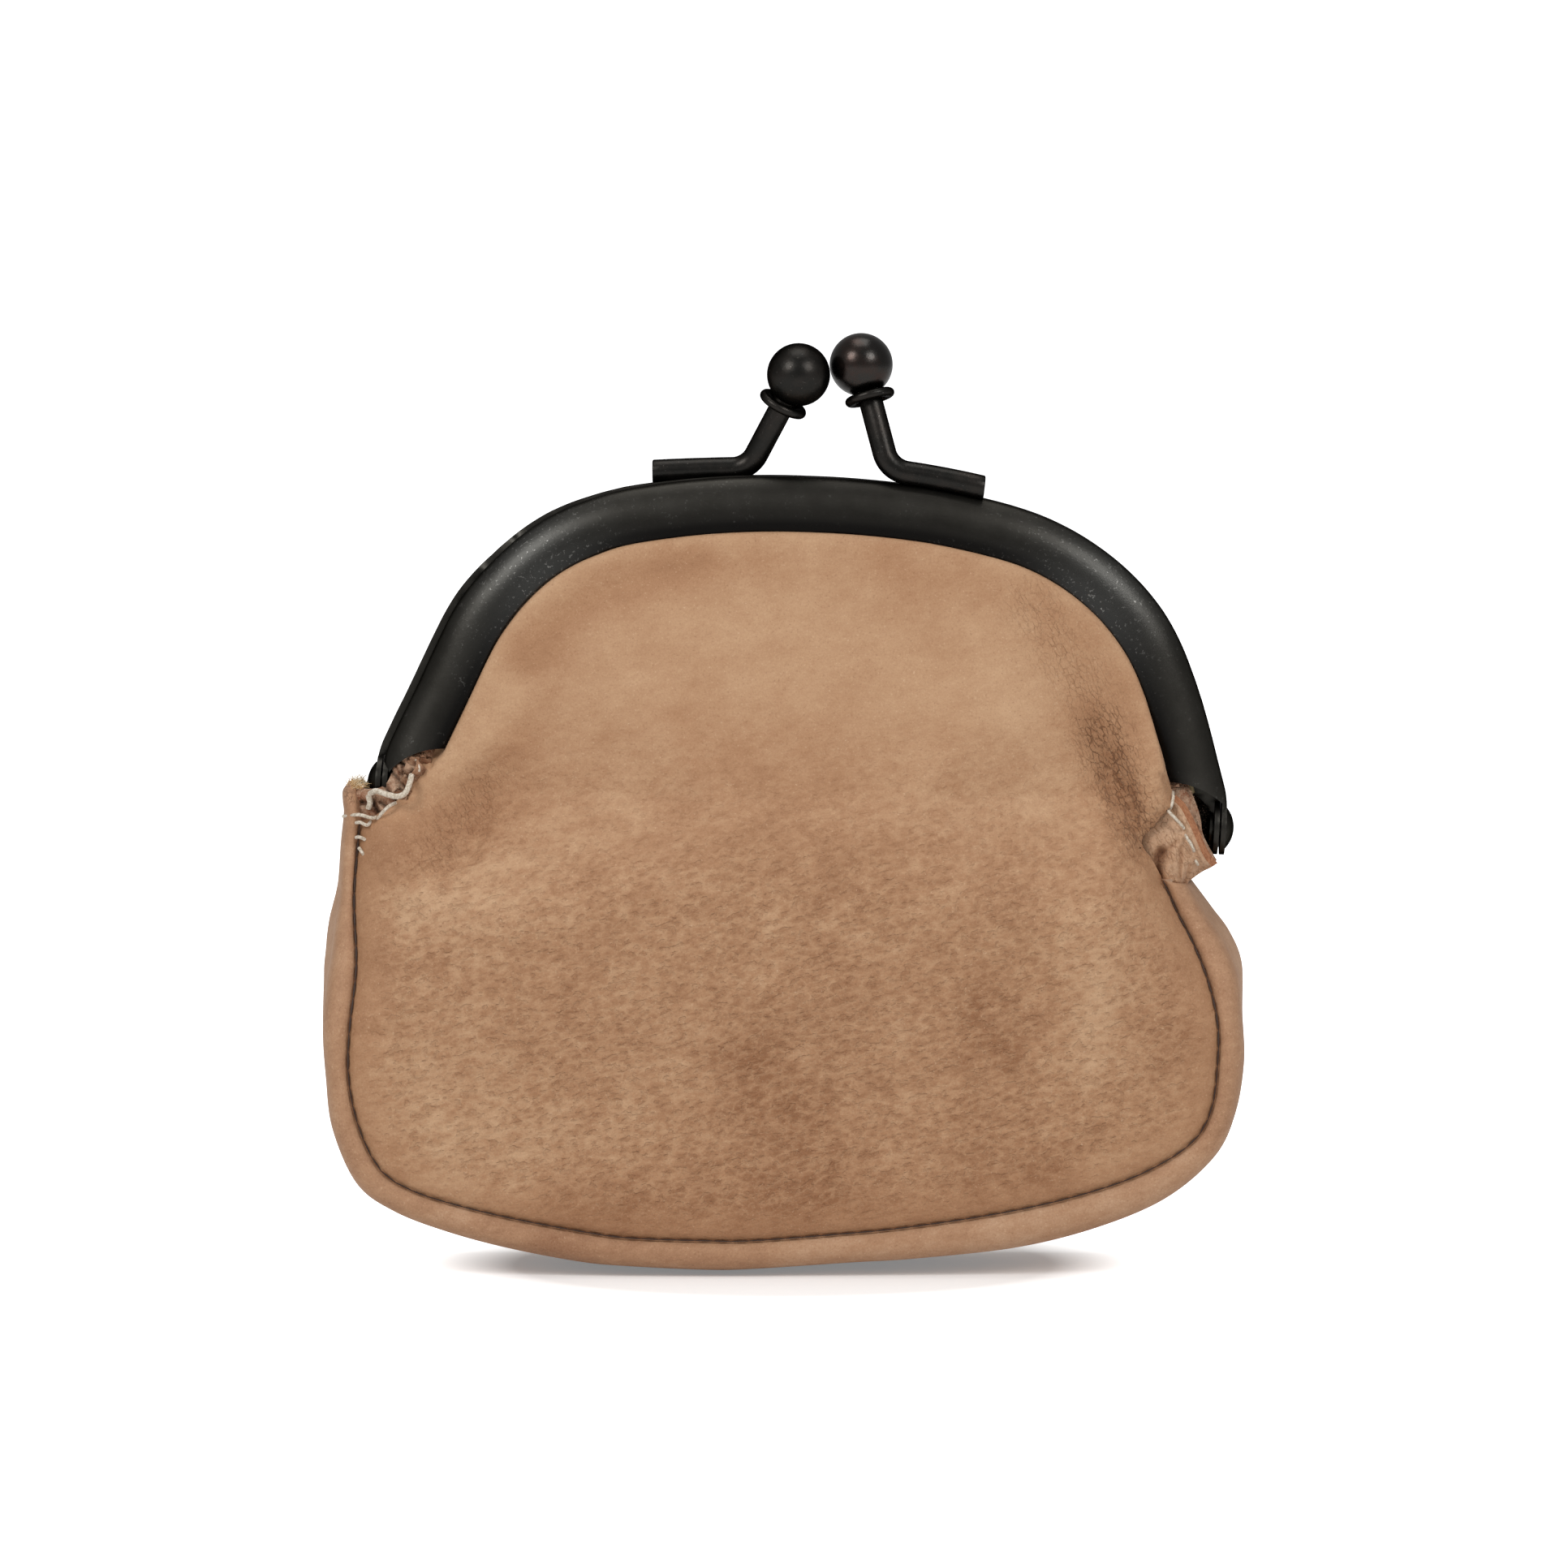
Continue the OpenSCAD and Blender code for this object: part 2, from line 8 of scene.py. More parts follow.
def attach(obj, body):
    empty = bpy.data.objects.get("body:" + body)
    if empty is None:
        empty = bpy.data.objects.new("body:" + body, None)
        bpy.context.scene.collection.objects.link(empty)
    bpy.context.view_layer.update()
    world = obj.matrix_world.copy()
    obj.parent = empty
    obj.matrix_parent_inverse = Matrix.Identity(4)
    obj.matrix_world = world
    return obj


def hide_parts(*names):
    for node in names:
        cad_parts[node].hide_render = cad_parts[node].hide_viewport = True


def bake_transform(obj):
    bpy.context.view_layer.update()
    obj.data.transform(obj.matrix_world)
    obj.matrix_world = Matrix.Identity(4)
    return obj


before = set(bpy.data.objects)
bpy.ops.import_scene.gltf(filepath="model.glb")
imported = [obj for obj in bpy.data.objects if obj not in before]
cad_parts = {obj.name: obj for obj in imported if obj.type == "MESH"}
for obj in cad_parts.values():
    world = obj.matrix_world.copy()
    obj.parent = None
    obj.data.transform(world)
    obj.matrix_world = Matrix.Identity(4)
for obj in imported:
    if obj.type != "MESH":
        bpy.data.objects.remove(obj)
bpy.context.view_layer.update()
bpy.ops.object.select_all(action="DESELECT")
mm = 0.001

# Camera: it looks straight at the purse from 1.3 m, a little from above, through a long lens.
# The purse stands on a white studio sheet, which keeps its contact shadow.
look_at = Vector((0, 0, 52.5)) * mm
bpy.ops.object.camera_add(location=(0, -1.3, 0.177))
camera = bpy.context.object
camera.name = "camera"
camera.data.lens = 276.7
camera.data.sensor_width = 36
camera.rotation_euler = (look_at - camera.location).to_track_quat("-Z", "Y").to_euler()
bpy.context.scene.camera = camera
bpy.context.scene.view_settings.view_transform = "Standard"


class Wire:
    """A node's output, so that shader maths reads as plain sums."""

    def __init__(self, paint, socket):
        self.paint = paint
        self.socket = socket

    def sum(self, operation, *others, clamp=False):
        settings = {"operation": operation, "use_clamp": clamp}
        return self.paint.node("ShaderNodeMath", settings, [self, *others])

    def __add__(self, other):
        return self.sum("ADD", other)

    def __mul__(self, other):
        return self.sum("MULTIPLY", other)

    def __sub__(self, other):
        return self.sum("SUBTRACT", other)

    def __rsub__(self, other):
        return self.paint.node("ShaderNodeMath", {"operation": "SUBTRACT"}, [other, self])

    __radd__ = __add__

    def above(self, level, width):
        """0 below level, 1 above level + width, and a ramp between."""
        return ((self - level) * (1 / width)).sum("ADD", 0.0, clamp=True)


class Paint:
    """A node material on one Principled shader."""

    def __init__(self, name, **plain):
        self.material = bpy.data.materials.new(name)
        self.material.use_nodes = True
        self.tree = self.material.node_tree
        self.shader = self.tree.nodes["Principled BSDF"]
        self.set(**plain)

    def set(self, **sockets):
        """Gives the shader's sockets, named here with underscores, a value or a wire."""
        for name, value in sockets.items():
            socket = self.shader.inputs[name.replace("_", " ")]
            if isinstance(value, Wire):
                self.tree.links.new(value.socket, socket)
            else:
                socket.default_value = value

    def node(self, kind, settings=None, inputs=(), output=0):
        node = self.tree.nodes.new(kind)
        for name, value in (settings or {}).items():
            setattr(node, name, value)
        pairs = inputs.items() if isinstance(inputs, dict) else enumerate(inputs)
        for name, value in pairs:
            if isinstance(value, Wire):
                self.tree.links.new(value.socket, node.inputs[name])
            else:
                node.inputs[name].default_value = value
        return Wire(self, node.outputs[output])

    def place(self, turn=(0, 0, 0), stretch=(1, 1, 1)):
        """Object coordinates, in metres, for a pattern that is stretched and then turned."""
        spot = self.node("ShaderNodeTexCoord", output="Object")
        inputs = {"Vector": spot, "Rotation": turn, "Scale": stretch}
        return self.node("ShaderNodeMapping", {"vector_type": "TEXTURE"}, inputs)

    def noise(self, spot, scale, detail=2.0, roughness=0.5):
        inputs = {"Vector": spot, "Scale": scale, "Detail": detail, "Roughness": roughness}
        return self.node("ShaderNodeTexNoise", {}, inputs, "Fac")

    def cells(self, spot, scale, feature="F1", output="Distance"):
        inputs = {"Vector": spot, "Scale": scale}
        return self.node("ShaderNodeTexVoronoi", {"feature": feature}, inputs, output)

    def mark(self, name):
        """A float attribute painted on the piece."""
        return self.node("ShaderNodeAttribute", {"attribute_name": name}, output="Fac")

    def mix(self, share, first, second, blend="MIX"):
        settings = {"data_type": "RGBA", "blend_type": blend, "clamp_factor": True}
        return self.node("ShaderNodeMix", settings, {0: share, 6: first, 7: second}, 2)

    def bump(self, height, depth, strength):
        inputs = {"Height": height, "Distance": depth, "Strength": strength}
        return self.node("ShaderNodeBump", {}, inputs, "Normal")


def rgb(red, green, blue):
    """A colour as written in sRGB, 0 to 255, made linear."""
    share = [value / 255 for value in (red, green, blue)]
    return [v / 12.92 if v < 0.04045 else ((v + 0.055) / 1.055) ** 2.4 for v in share] + [1]


bpy.ops.mesh.primitive_plane_add(size=12)
floor = bpy.context.object
floor.name = "studio_sheet"
sheet_paint = Paint("white studio sheet", Roughness=0.9, Base_Color=rgb(247, 247, 247),
                    Specular_IOR_Level=0.0)
# Away from the purse the sheet glows white to the camera, and under it only the contact shadow shows
seen = sheet_paint.node("ShaderNodeLightPath", output="Is Camera Ray")
spot = sheet_paint.place(stretch=(1.08, 0.9, 1))
away = sheet_paint.node("ShaderNodeVectorMath", {"operation": "LENGTH"}, [spot], "Value")
glow = sheet_paint.mix(away.above(0.027, 0.01), (0.22, 0.22, 0.22, 1), (1, 1, 1, 1))
glow = sheet_paint.mix(seen, (0, 0, 0, 1), glow)
sheet_paint.set(Emission_Color=glow, Emission_Strength=1.0)
floor.data.materials.append(sheet_paint.material)

world = bpy.context.scene.world or bpy.data.worlds.new("studio")
bpy.context.scene.world = world
world.use_nodes = True
sky = world.node_tree
path = sky.nodes.new("ShaderNodeLightPath")
strength = sky.nodes.new("ShaderNodeMath")
strength.operation = "MULTIPLY_ADD"
sky.links.new(path.outputs["Is Camera Ray"], strength.inputs[0])
strength.inputs[1].default_value = 0.72
strength.inputs[2].default_value = 0.28
sky.nodes["Background"].inputs["Color"].default_value = (1, 1, 1, 1)
sky.links.new(strength.outputs[0], sky.nodes["Background"].inputs["Strength"])


def softbox(name, place, size, power):
    """A square lamp that faces the middle of the purse."""
    bpy.ops.object.light_add(type="AREA", location=place)
    lamp = bpy.context.object
    lamp.name = name
    lamp.data.size = size
    lamp.data.energy = power
    lamp.rotation_euler = (look_at - Vector(place)).to_track_quat("-Z", "Y").to_euler()


softbox("left_softbox", (-0.75, -0.85, 0.85), 0.5, 6.6)
softbox("right_softbox", (0.75, -0.85, 0.8), 0.5, 5.2)
softbox("overhead_softbox", (0, 0.1, 1.2), 0.7, 3.6)

# Half frames: each is one arched channel, pressed from thin sheet steel and blackened. It is open
# towards the leather. Its outer wall runs on past the channel's ends as two flat ears for the rivets.
hinge_height = 50.2
frame_offset = 1.8
frame_lean = math.radians(3.1)
crown_radius, crown_angle = 99, math.radians(12.9)
shoulder_radius, shoulder_angle = 26.5, math.radians(52.8)
side_radius, side_angle = 107, math.radians(6)
leg_length, ear_bend_radius, ear_drop = 2.8, 9, 2
channel_width, channel_depth, sheet = 5.8, 3.5, 0.6
dome_radius, dome_place, edge_radius = 4.9, 3.9, 1.3
inner_wall, halves_gap, ear_gap = 4.6, 0.3, 0.15
half_shift = (sheet + ear_gap) / 2
side_start = crown_angle + shoulder_angle
leg_heading = side_start + side_angle


def heading(angle):
    return np.array([math.sin(angle), math.cos(angle)])


rise = (crown_radius * (1 - math.cos(crown_angle))
        + shoulder_radius * (math.cos(crown_angle) - math.cos(side_start))
        + side_radius * (math.cos(side_start) - math.cos(leg_heading))
        + leg_length * math.sin(leg_heading) + ear_bend_radius * math.cos(leg_heading) + ear_drop)
crown_centre = np.array([0, rise - crown_radius])
shoulder_centre = crown_centre + (crown_radius - shoulder_radius) * heading(crown_angle)
side_centre = shoulder_centre + (shoulder_radius - side_radius) * heading(side_start)
leg_start = side_centre + side_radius * heading(leg_heading)
leg_end = leg_start + leg_length * np.array([math.cos(leg_heading), -math.sin(leg_heading)])
ear_centre = leg_end - ear_bend_radius * heading(leg_heading)
ear_outside = ear_centre[0] + ear_bend_radius

on_hinge = Matrix.Translation((frame_offset, 0, hinge_height)) @ Matrix.Rotation(frame_lean, 4, "Y")
front_side = on_hinge @ Matrix.Translation((half_shift, 0, 0))
back_side = on_hinge @ Matrix.Rotation(math.pi, 4, "Z") @ Matrix.Translation((half_shift, 0, 0))
to_metres = Matrix.Scale(mm, 4)


def arc(centre, radius, start, end, steps):
    angles = np.linspace(start, end, steps + 1)
    return [(centre[0] + radius * math.cos(a), centre[1] + radius * math.sin(a)) for a in angles]


def edit(select="SELECT"):
    bpy.ops.object.mode_set(mode="EDIT")
    bpy.ops.mesh.select_all(action=select)


def leave_edit():
    bpy.ops.object.mode_set(mode="OBJECT")


def extrude(x, y, z):
    bpy.ops.mesh.extrude_region_move(TRANSFORM_OT_translate={"value": (x, y, z)})


def close_up(merge=True):
    """Merges vertices that meet, turns all faces outwards and leaves edit mode."""
    bpy.ops.mesh.select_all(action="SELECT")
    if merge:
        bpy.ops.mesh.remove_doubles(threshold=0.0005)
    bpy.ops.mesh.normals_make_consistent(inside=False)
    leave_edit()


def apply_all(piece):
    bpy.ops.object.select_all(action="DESELECT")
    piece.select_set(True)
    bpy.context.view_layer.objects.active = piece
    for modifier in list(piece.modifiers):
        bpy.ops.object.modifier_apply(modifier=modifier.name)


def loop_of(points):
    """A closed ring of edges through the given points, made from a circle."""
    bpy.ops.object.select_all(action="DESELECT")
    bpy.ops.mesh.primitive_circle_add(vertices=len(points), radius=1)
    ring = bpy.context.object
    for vertex, point in zip(ring.data.vertices, points):
        vertex.co = point
    return ring


def cut(piece, cutter, operation="DIFFERENCE"):
    modifier = piece.modifiers.new("cut", "BOOLEAN")
    modifier.operation = operation
    modifier.object = cutter
    modifier.solver = "EXACT"
    apply_all(piece)
    bpy.data.objects.remove(cutter)


def break_edges(piece, name, width, segments, angle):
    bevel = piece.modifiers.new(name, "BEVEL")
    bevel.width = width
    bevel.segments = segments
    bevel.limit_method = "ANGLE"
    bevel.angle_limit = math.radians(angle)
    return bevel


def dress(piece, *paints):
    for paint in paints:
        piece.data.materials.append(paint.material)


def disc(radius, low, high):
    """A round plate across x, from low to high."""
    bpy.ops.object.select_all(action="DESELECT")
    bpy.ops.mesh.primitive_cylinder_add(vertices=64, radius=radius, depth=high - low,
                                        location=((low + high) / 2, 0, 0), rotation=(0, math.pi / 2, 0))
    bpy.ops.object.transform_apply()
    return bpy.context.object


dome_centre = (dome_place, channel_depth - dome_radius)
edge_centre = (edge_radius, dome_centre[1] + math.sqrt(
    (dome_radius - edge_radius) ** 2 - (dome_place - edge_radius) ** 2))
turn_over = math.atan2(edge_centre[1] - dome_centre[1], edge_centre[0] - dome_centre[0])
outer_lip = math.acos((channel_width - dome_place) / dome_radius)
inner_lip = math.acos((channel_width - dome_place) / (dome_radius - sheet))
section = (arc(dome_centre, dome_radius, outer_lip, turn_over, 22)
           + arc(edge_centre, edge_radius, turn_over, math.pi, 8)[1:]
           + [(0, 0), (inner_wall, 0), (inner_wall, sheet), (sheet, sheet)]
           + arc(edge_centre, edge_radius - sheet, math.pi, turn_over, 6)
           + arc(dome_centre, dome_radius - sheet, turn_over, inner_lip, 14)[1:])


def spin(angle, centre, steps):
    bpy.ops.mesh.spin(steps=steps, angle=angle, center=(centre[0], 0, centre[1]), axis=(0, -1, 0))


half = loop_of([(0, -halves_gap / 2 - q, rise - p) for p, q in section])
half.name = "half_pressing"
edit()
spin(crown_angle, crown_centre, 14)
spin(shoulder_angle, shoulder_centre, 30)
spin(side_angle, side_centre, 5)
extrude(leg_length * math.cos(leg_heading), 0, -leg_length * math.sin(leg_heading))
spin(math.pi / 2 - leg_heading, ear_centre, 6)
extrude(0, 0, -ear_drop)
bpy.ops.mesh.edge_face_add()
leave_edit()
mirror = half.modifiers.new("other leg", "MIRROR")
mirror.merge_threshold = 0.001
apply_all(half)
edit()
close_up()

# The channel's ends are cut back in a round sweep, so that only the outer wall runs on as an ear
wall_face = ear_outside - sheet + 0.02
cut_out = 12
notches = {1: (9, 5.8, 5), -1: (6.5, 5.6, 4.4)}
for side, (notch_radius, notch_reach, notch_height) in notches.items():
    notch_centre = (wall_face - notch_reach, notch_height - notch_radius)
    outline = [(notch_centre[0] - cut_out, -cut_out), (notch_centre[0] - cut_out, notch_height)]
    outline += arc(notch_centre, notch_radius, math.pi / 2, math.acos(notch_reach / notch_radius), 14)
    outline += [(wall_face, -cut_out)]
    cutter = loop_of([(side * x, cut_out, z) for x, z in outline])
    edit()
    bpy.ops.mesh.edge_face_add()
    extrude(0, -2 * cut_out, 0)
    close_up(merge=False)
    cut(half, cutter)
ear_radius, ear_bore = 2.9, 0.95
for side in (1, -1):
    low, high = sorted((side * (wall_face + 0.02), side * (ear_outside - 0.02)))
    cut(half, disc(ear_radius, low, high), "UNION")
    cut(half, disc(ear_bore, low - 1, high + 1))
break_edges(half, "broken edges", 0.09, 2, 45).material = 1

black = Paint("blackened steel", Metallic=1.0, Specular_Tint=(0.2, 0.2, 0.2, 1))
spot = black.place()
cloud = black.noise(spot, 180, 4, 0.6)
grit = black.noise(spot, 2600, 3, 0.7)
scratches = black.noise(black.place(stretch=(3, 1, 0.5)), 900, 5, 0.8)
wear_and_highlight = black.mark("wear_and_highlight")
speck = grit.above(0.6, 0.08) * (cloud.above(0.52, 0.12) * 0.3 + wear_and_highlight)
shade = black.mix(cloud.above(0.3, 0.5), rgb(54, 52, 48), rgb(66, 64, 60))
# Painted shade darkens the inner part of the channel's dome; a painted highlight lightens the front of the
# shoulders, where the bright specks gather too
shade = black.mix(black.mark("inner_painted_shade"), shade, rgb(27, 26, 25))
shade = black.mix(wear_and_highlight * 0.55, shade, rgb(84, 84, 82))
shade = black.mix(speck * 0.6, shade, rgb(150, 148, 144))
black.set(Base_Color=shade,
          Roughness=0.3 + cloud * 0.12 + grit * 0.08 - speck * 0.1,
          Normal=black.bump(grit * 0.6 + scratches * 0.5, 0.00003, 0.5 + wear_and_highlight * 0.5))

worn = Paint("worn steel edge", Metallic=0.0)
cloud = worn.noise(worn.place(), 700, 4, 0.7)
worn.set(Base_Color=worn.mix(cloud.above(0.42, 0.16), rgb(30, 30, 28), rgb(104, 101, 96)),
         Roughness=0.38 + cloud * 0.1)

dress(half, black, worn)
apply_all(half)
bpy.ops.object.shade_smooth_by_angle(angle=math.radians(32))


def inset_of(x, z):
    """How far a place lies in from the arch's outer edge."""
    for centre, radius, limit in ((crown_centre, crown_radius, crown_angle),
                                  (shoulder_centre, shoulder_radius, side_start),
                                  (side_centre, side_radius, math.inf)):
        if math.atan2(abs(x) - centre[0], z - centre[1]) <= limit:
            return radius - math.hypot(abs(x) - centre[0], z - centre[1])


bent_x = [-44, -40, -36, -34, -32, -30, -27.8, -25.6, -21, -17, -8, 3, 10, 16, 24, 30, 34, 41, 44]
bent_z = [0, -0.25, -0.25, -0.45, -0.6, -0.52, -0.35, -0.2, -0.05, 0.25, 0.33, 0.36, 0.5, 0.66, 0.66,
          0.45, 0.35, 0.3, 0]


def bell(away, width):
    """1 where away is 0, falling smoothly to nearly nothing past twice the width."""
    return np.exp(-(away / width) ** 2)


def bent(x, z):
    """The arch as it is bent by hand, a little off its true arcs, in the purse's own x and z."""
    clear = np.clip((z - 54) / 9, 0, 1)
    aside = 0.65 * bell(x + 40, 9) + 0.35 * bell(x - 44, 8)
    return x + aside * clear, z + np.interp(x, bent_x, bent_z) * clear


def copy_of(piece, name, place):
    """A copy with its own mesh, put in its place in the purse, in metres."""
    twin = piece.copy()
    twin.data = piece.data.copy()
    twin.name = name
    twin.data.name = name
    bpy.context.collection.objects.link(twin)
    twin.data.transform(to_metres @ place)
    return twin


def put(piece, name, place):
    """Moves the piece to its place in the purse, in metres, under its own name."""
    twin = copy_of(piece, name, place)
    bpy.data.objects.remove(piece)
    return twin


def paint_mark(piece, name, values):
    layer = piece.data.attributes.new(name, "FLOAT", "POINT")
    layer.data.foreach_set("value", np.asarray(values, np.float32).ravel())


# Handling wears the shoulders, and a painted highlight lightens their front; painted shade darkens the
# inside of the channel, where the leather keeps the light out
shoulder_wear_and_highlight = np.array([max(math.exp(-((abs(v.co.x) - 31) / 7) ** 2 - ((v.co.z - 25) / 9) ** 2)
                       * min(1, max(0, -v.co.y / 2)), 0) for v in half.data.vertices])
paint_mark(half, "wear_and_highlight", shoulder_wear_and_highlight)
inset = [inset_of(v.co.x, v.co.z) for v in half.data.vertices]
paint_mark(half, "inner_painted_shade", np.clip((np.array(inset, np.float32) - 3.0) / 1.9, 0, 1))
for side, place in (("front", front_side), ("back", back_side)):
    pressing = copy_of(half, side + "_pressing", place)
    for vertex in pressing.data.vertices:
        x, z = bent(vertex.co.x / mm, vertex.co.z / mm)
        vertex.co.x, vertex.co.z = x * mm, z * mm
    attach(pressing, side + "_half")
    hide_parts(side + "_frame")
bpy.data.objects.remove(half)

# Knobs: a bent wire is brazed along the crown, and leans over the mouth. A drilled ball is pressed
# on its end, over a loose collar ring. The two knobs snap past each other to hold the purse shut.
wire_radius, ball_radius, ball_bore = 1.3, 3.42, 2.4
foot_place, foot_length, foot_slope = 7.2, 10.4, math.radians(3.4)
bend_radius, cross_lean, collar_drop = 3, math.radians(13), 3.7
brazed_gap = 0.03
ring_radius, ring_wire, ring_inside, ring_flare = 2.24, 0.5, 1.74, 1.88

knob_black = Paint("handled black steel", Metallic=1.0, Specular_Tint=(0.25, 0.25, 0.25, 1))
spot = knob_black.place()
cloud = knob_black.noise(spot, 420, 4, 0.65)
grit = knob_black.noise(spot, 3400, 2, 0.7)
speck = grit.above(0.69, 0.05)
shade = knob_black.mix(cloud.above(0.42, 0.3), rgb(48, 47, 45), rgb(58, 54, 51))
shade = knob_black.mix(speck * 0.5, shade, rgb(130, 124, 120))
knob_black.set(Base_Color=shade, Roughness=0.24 + cloud * 0.16 + grit * 0.08,
               Normal=knob_black.bump(grit + cloud, 0.00004, 0.45))

ball_brown = Paint("brown black ball", Metallic=1.0)
spot = ball_brown.place()
cloud = ball_brown.noise(spot, 330, 5, 0.65)
grit = ball_brown.noise(spot, 3400, 2, 0.7)
shade = ball_brown.mix(cloud.above(0.47, 0.2), rgb(60, 58, 56), rgb(68, 57, 53))
ball_brown.set(Base_Color=shade, Roughness=0.18 + cloud * 0.12 + grit * 0.06,
               Normal=ball_brown.bump(grit + cloud, 0.00003, 0.4))

# Each knob: the lean of its stem, the stem's length, how much higher it sits, its half and its ball's paint
knobs = {"front": (math.radians(17.5), 12.0, 0.5, front_side, ball_brown),
         "back": (math.radians(23.8), 11.9, -0.3, back_side, knob_black)}
for side, (lean, length, lift, place, ball_paint) in knobs.items():
    turn = math.pi / 2 - lean - foot_slope
    setback = bend_radius * math.tan(turn / 2)
    contact = foot_place + setback * math.cos(foot_slope)
    foot_height = (crown_centre[1] + math.sqrt(crown_radius ** 2 - contact ** 2) + brazed_gap
                   + wire_radius / math.cos(foot_slope) + setback * math.sin(foot_slope))
    on_knob = (place @ Matrix.Translation((foot_place, -halves_gap / 2 - wire_radius, foot_height + lift))
               @ Matrix.Rotation(foot_slope, 4, "Y") @ Matrix.Rotation(-cross_lean, 4, "X"))
    on_stem = on_knob @ Matrix.Rotation(-lean - foot_slope, 4, "Y")

    wire = loop_of([(foot_length, wire_radius * math.sin(a), wire_radius * math.cos(a))
                    for a in np.linspace(0, 2 * math.pi, 33)[:-1]])
    edit()
    bpy.ops.mesh.edge_face_add()
    bpy.ops.mesh.inset(thickness=0.25, depth=0.04)
    bpy.ops.mesh.select_all(action="DESELECT")
    leave_edit()
    for edge in wire.data.edges:
        ends = [wire.data.vertices[i].co for i in edge.vertices]
        edge.select = all(abs(math.hypot(e.y, e.z) - wire_radius) < 0.01 for e in ends)
    bpy.ops.object.mode_set(mode="EDIT")
    foot_steps = 8
    for step in range(foot_steps):
        extrude((setback - foot_length) / foot_steps, 0, 0)
    spin(turn, (setback, bend_radius), 14)
    reach = length - ball_radius + ball_bore - 0.02 - setback
    extrude(-reach * math.cos(turn), 0, reach * math.sin(turn))
    bpy.ops.mesh.edge_face_add()
    close_up()
    # The brazed foot follows the curve of the crown
    for vertex in wire.data.vertices:
        if vertex.co.x > setback:
            across = foot_place + vertex.co.x * math.cos(foot_slope)
            under = foot_height - vertex.co.x * math.sin(foot_slope) - wire_radius / math.cos(foot_slope)
            crown = crown_centre[1] + math.sqrt(crown_radius ** 2 - across ** 2)
            vertex.co.z -= max(0, under - crown - brazed_gap) * (1 if side == "front" else 0.4)
    break_edges(wire, "filed end", 0.14, 3, 50)
    apply_all(wire)
    bpy.ops.object.shade_smooth_by_angle(angle=math.radians(40))
    dress(wire, knob_black)
    stem = put(wire, side + "_wire", on_knob)
    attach(stem, side + "_half")
    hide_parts(side + "_stem")

    bpy.ops.mesh.primitive_uv_sphere_add(segments=64, ring_count=40, radius=ball_radius)
    ball = bpy.context.object
    edit("DESELECT")
    leave_edit()
    for vertex in ball.data.vertices:
        vertex.select = vertex.co.z < -ball_radius + 0.25
    bpy.ops.object.mode_set(mode="EDIT")
    bpy.ops.mesh.delete(type="VERT")
    bpy.ops.mesh.select_all(action="DESELECT")
    bpy.ops.mesh.select_non_manifold()
    extrude(0, 0, 0.06)
    leave_edit()
    for vertex in ball.data.vertices:
        if vertex.select:
            squeeze = (wire_radius + brazed_gap) / math.hypot(vertex.co.x, vertex.co.y)
            vertex.co.x *= squeeze
            vertex.co.y *= squeeze
    bpy.ops.object.mode_set(mode="EDIT")
    extrude(0, 0, ball_bore)
    bpy.ops.mesh.edge_face_add()
    close_up(merge=False)
    bpy.ops.object.shade_smooth_by_angle(angle=math.radians(40))
    dress(ball, ball_paint)
    knob = put(ball, side + "_knob", on_stem @ Matrix.Translation((0, 0, length)))
    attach(knob, side + "_half")
    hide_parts(side + "_ball")

    bpy.ops.mesh.primitive_torus_add(major_radius=ring_radius, minor_radius=ring_wire,
                                     major_segments=64, minor_segments=20)
    ring = bpy.context.object
    edit("DESELECT")
    leave_edit()
    for vertex in ring.data.vertices:
        across = math.hypot(vertex.co.x, vertex.co.y)
        if across < ring_radius:
            squeeze = (wire_radius + brazed_gap + (across - ring_inside) * ring_flare) / across
            vertex.co.x *= squeeze
            vertex.co.y *= squeeze
    bpy.ops.object.shade_smooth()
    dress(ring, knob_black)
    collar = put(ring, side + "_collar_ring", on_stem @ Matrix.Translation((0, 0, length - collar_drop)))
    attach(collar, side + "_half")
    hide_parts(side + "_collar")

# Rivets: one through the two ears on each side, with a turned dome outside and a formed tail inside.
rivet_face = ear_outside + half_shift
tail_face = rivet_face - 2 * sheet - 2 * ear_gap
head_radius, head_height, tail_radius, tail_height, shank = 2.3, 0.9, 1.6, 0.5, 0.9
dome = (head_height ** 2 + head_radius ** 2) / (2 * head_height)
head_angle = math.asin(head_radius / dome)
profile = [(0, tail_face - tail_height), (tail_radius * 0.7, tail_face - tail_height),
           (tail_radius, tail_face - tail_height / 2), (tail_radius, tail_face), (shank, tail_face),
           (shank, rivet_face), (head_radius, rivet_face)]
profile += [(dome * math.sin(a), rivet_face + head_height - dome * (1 - math.cos(a)))
            for a in np.linspace(head_angle * 0.94, 0, 9)]
for name, body, place in (("right", "front_half", on_hinge),
                          ("left", "back_half", on_hinge @ Matrix.Rotation(math.pi, 4, "Z"))):
    lathe = loop_of([(along, 0, radius) for radius, along in profile])
    edit("DESELECT")
    leave_edit()
    for edge in lathe.data.edges:
        edge.select = all(lathe.data.vertices[i].co.z < 1e-4 for i in edge.vertices)
    bpy.ops.object.mode_set(mode="EDIT")
    bpy.ops.mesh.select_mode(type="EDGE")
    bpy.ops.mesh.delete(type="EDGE")
    bpy.ops.mesh.select_all(action="SELECT")
    bpy.ops.mesh.spin(steps=48, angle=2 * math.pi, center=(0, 0, 0), axis=(1, 0, 0))
    bpy.ops.mesh.select_mode(type="VERT")
    close_up()
    bpy.ops.object.shade_smooth_by_angle(angle=math.radians(35))
    dress(lathe, black)
    rivet = put(lathe, name + "_turned_rivet", place)
    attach(rivet, body)
    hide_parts("rivet_" + name)

